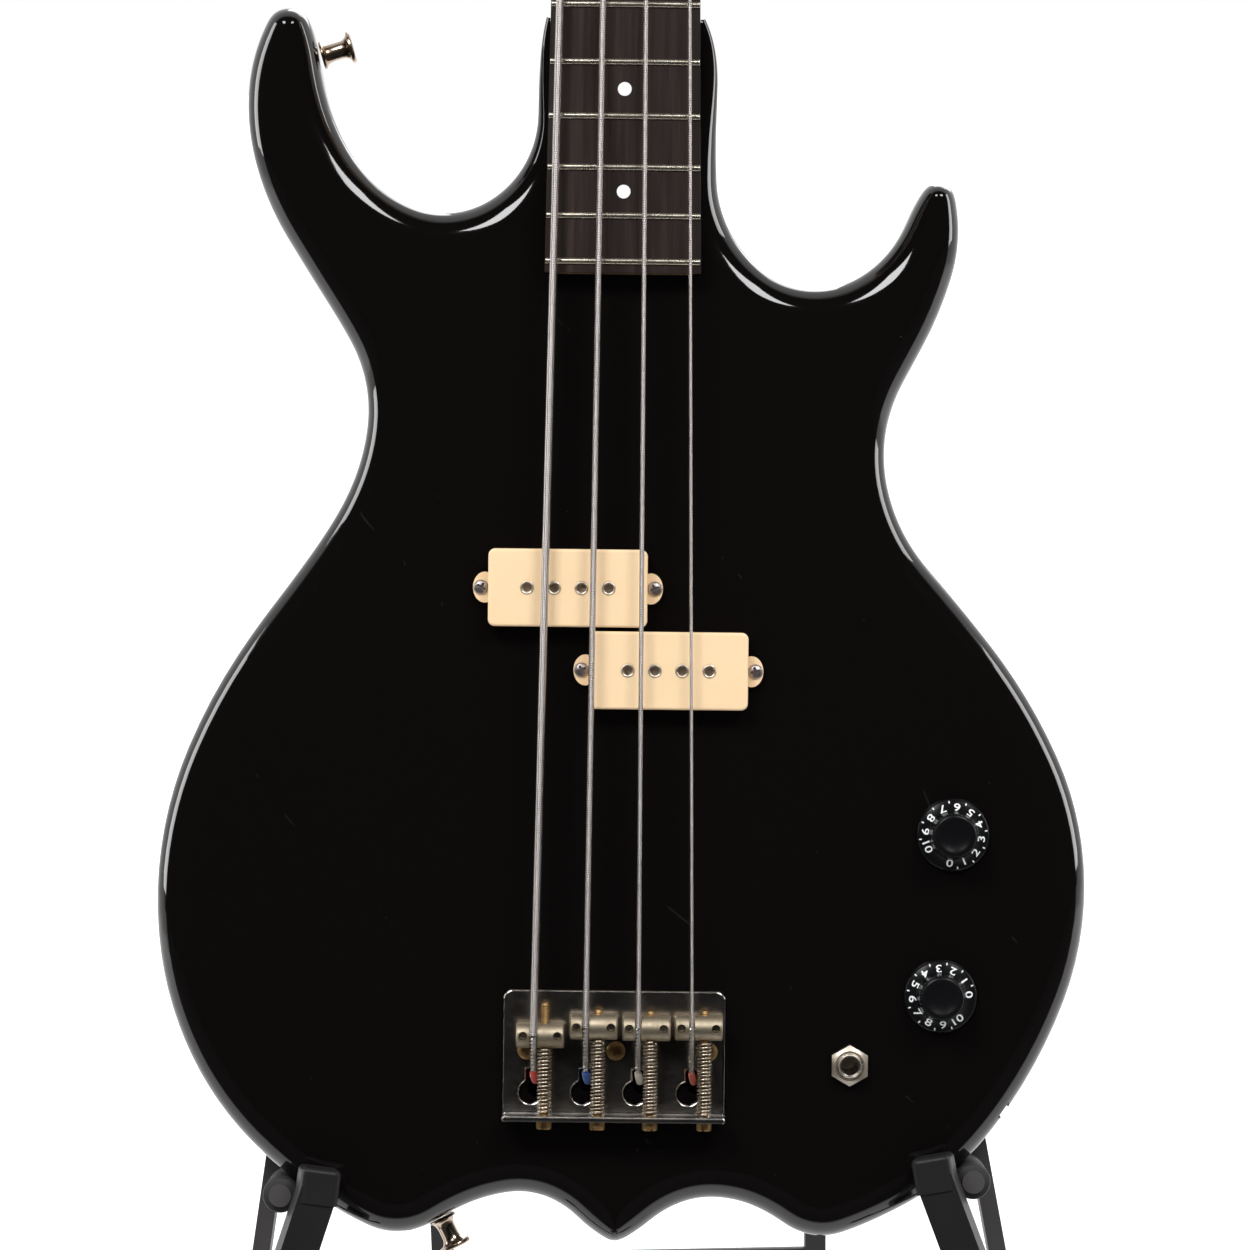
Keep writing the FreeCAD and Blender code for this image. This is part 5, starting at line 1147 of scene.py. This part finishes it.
# The jack's chamfered hexagonal nut and rounded lip.
jackShape = {
    "flats": 12.7, "thread": 4.75, "face": 5.3, "chamfer": 1.3, "mouth": 3.3, "rim": 4.6,
    "lip": ((0, -1.6), (0, -0.5), (0.12, -0.2), (0.4, 0), (0.7, 0.05), (1.0, -0.1)),
}
jack = Solid(inBass("jack_nut"))
top, corner, thread = jack.high.z, jackShape["flats"] / sqrt(3) * 1.02, jackShape["thread"]
hexNut = hexagon("jackNutPiece", jackShape["flats"], top, top / 2)
bpy.ops.object.transform_apply()
cone = [(corner, -0.1), (corner, top - jackShape["chamfer"]), (jackShape["face"], top + 0.01)]
carve(hexNut, turned("cone", cone, 64), operation="INTERSECT")
bore = turned("bore", [(thread, -2), (thread, top - 0.5), (thread + 0.7, top + 0.3)], 40)
smooth(carve(hexNut, bore), 20)
settle(standing(hexNut, jack), jackNickel, "jack_nut")
rim, mouth, end = jackShape["rim"], jackShape["mouth"], Solid(inBass("output_jack")).high.z
edge = [(rim - inset, end + up) for inset, up in jackShape["lip"]]
lip = turned("jackLip", [*edge, (mouth + 0.05, end - 0.5)], 48)
carve(lip, turned("mouth", [(mouth, end - 3), (mouth, end + 2)], 48))
settle(standing(smooth(lip, 50), jack), jackNickel)

# Strap buttons: turned spools with their screws.
buttonShape = {
    "rim": 5.7, "waist": 3.1, "length": 11.7, "tilt": (16.7, -63.5),
    "screw": {"radius": 2.8, "height": 1.1, "slot": (0.6, 3.2, 0.8), "shank": 1.5, "reach": 4},
}
rim, waist, length = buttonShape["rim"], buttonShape["waist"], buttonShape["length"]
bends = [i * pi / 16 for i in range(9)]
profile = [
    (rim - 1.0, 0), (rim - 0.75, 0.15), (rim - 0.7, 0.8),
    *((waist + (rim - waist - 0.9) * (1 - sin(bend)), 0.9 + 3.6 * (1 - cos(bend))) for bend in bends),
    *((waist + (rim - waist - 0.1) * (1 - cos(bend)), length - 4.6 + 3.2 * sin(bend)) for bend in bends),
    (rim, length - 1.1), (rim, length - 0.5), (rim - 0.25, length - 0.12), (rim - 0.7, length),
    (3.4, length), (3.0, length - 0.5), (2.9, length - 0.9),
]
copies = []
for solid, tilt in zip(solidsOf("strap_buttons"), buttonShape["tilt"]):
    head = domedScrew("buttonScrew", **buttonShape["screw"])
    moved(head, shift(0, 0, length - buttonShape["screw"]["height"]))
    button = joined("button", [turned("spool", profile, 56), head])
    way = Vector((cos(radians(tilt)), sin(radians(tilt)), 0))
    copies.append(moved(button, facing(way, solid.mid - way * (length / 2))))
settle(joined("strapButtonsPiece", copies), buttonNickel, "strap_buttons")
print("jack nut and strap buttons made")

# The stand's pieces: body, how wide and in how many steps the edges are rounded, and finish.
standPieces = {
    "left_leg": ("stand", 0.8, 3, legPlastic), "right_leg": ("stand", 0.8, 3, legPlastic),
    "left_arm": ("left_arm", 1.6, 4, standPlastic), "right_arm": ("right_arm", 1.6, 4, standPlastic),
    "arm_pins": ("stand", 0.4, 2, plainSteel), "cross_tube": ("stand", 0.8, 3, standPaint),
    "rear_frame": ("rear_legs", 0.8, 3, standPlastic), "front_feet": ("stand", 1.8, 4, softRubber),
    "rear_feet": ("rear_legs", 1.8, 4, softRubber),
}
for node, dressing in standPieces.items():
    settleNode(node, *dressing)

# The rollers that carry the body, with closed faces.
rollerShape = {"edge": ((1.2, 0), (0.35, 0.35), (0, 1.2)), "boss": (1.2, 0.7)}


def makeRoller(solid):
    radius, length = solid.size.x / 2, solid.size.z
    edge, (boss, proud) = rollerShape["edge"], rollerShape["boss"]
    roller = turned("roller", [
        *((radius - inset, up) for inset, up in edge),
        *((radius - inset, length - up) for inset, up in reversed(edge)),
        (radius - 2.6, length + 0.3), (boss, length + proud), (0.3, length + proud),
    ], 64)
    return standing(roller, solid, solid.low.z)


settleEach("rollersPiece", makeRoller, softRubber, "support_rollers", "stand")

# The foam sleeve: a barrel with rounded ends and shallow rings where it has been pressed.
foamShape = {"bore": 8.1, "round": 2.9, "ringDepth": 0.21, "rings": 7, "sag": 0.15, "steps": 40}
rest = solidsOf("back_rest", rowHome)[0]
restRadius, restLength, soft = rest.size.z / 2, rest.size.x, foamShape["round"]
sleeve = [(foamShape["bore"], 0.4)]
for i in range(7):
    turn = i * pi / 12
    sleeve.append((restRadius - soft - 0.1 + soft * sin(turn), soft * (1 - cos(turn))))
for i in range(1, foamShape["steps"]):
    share = i / foamShape["steps"]
    ring = foamShape["ringDepth"] * max(0.0, cos(2 * pi * share * foamShape["rings"])) ** 6
    dent = ring + foamShape["sag"] * sin(pi * share) ** 2
    sleeve.append((restRadius - 0.1 - dent, soft + (restLength - 2 * soft) * share))
sleeve += [(radius, restLength - height) for radius, height in reversed(sleeve[1:8])]
foam = turned("backRestPiece", sleeve, 64)
moved(foam, facing((1, 0, 0), (rest.low.x, rest.mid.y, rest.mid.z)))
settle(foam, sleeveFoam, "back_rest", body="stand", home=rowHome)
print("stand dressed,", pieceCount, "pieces in all")
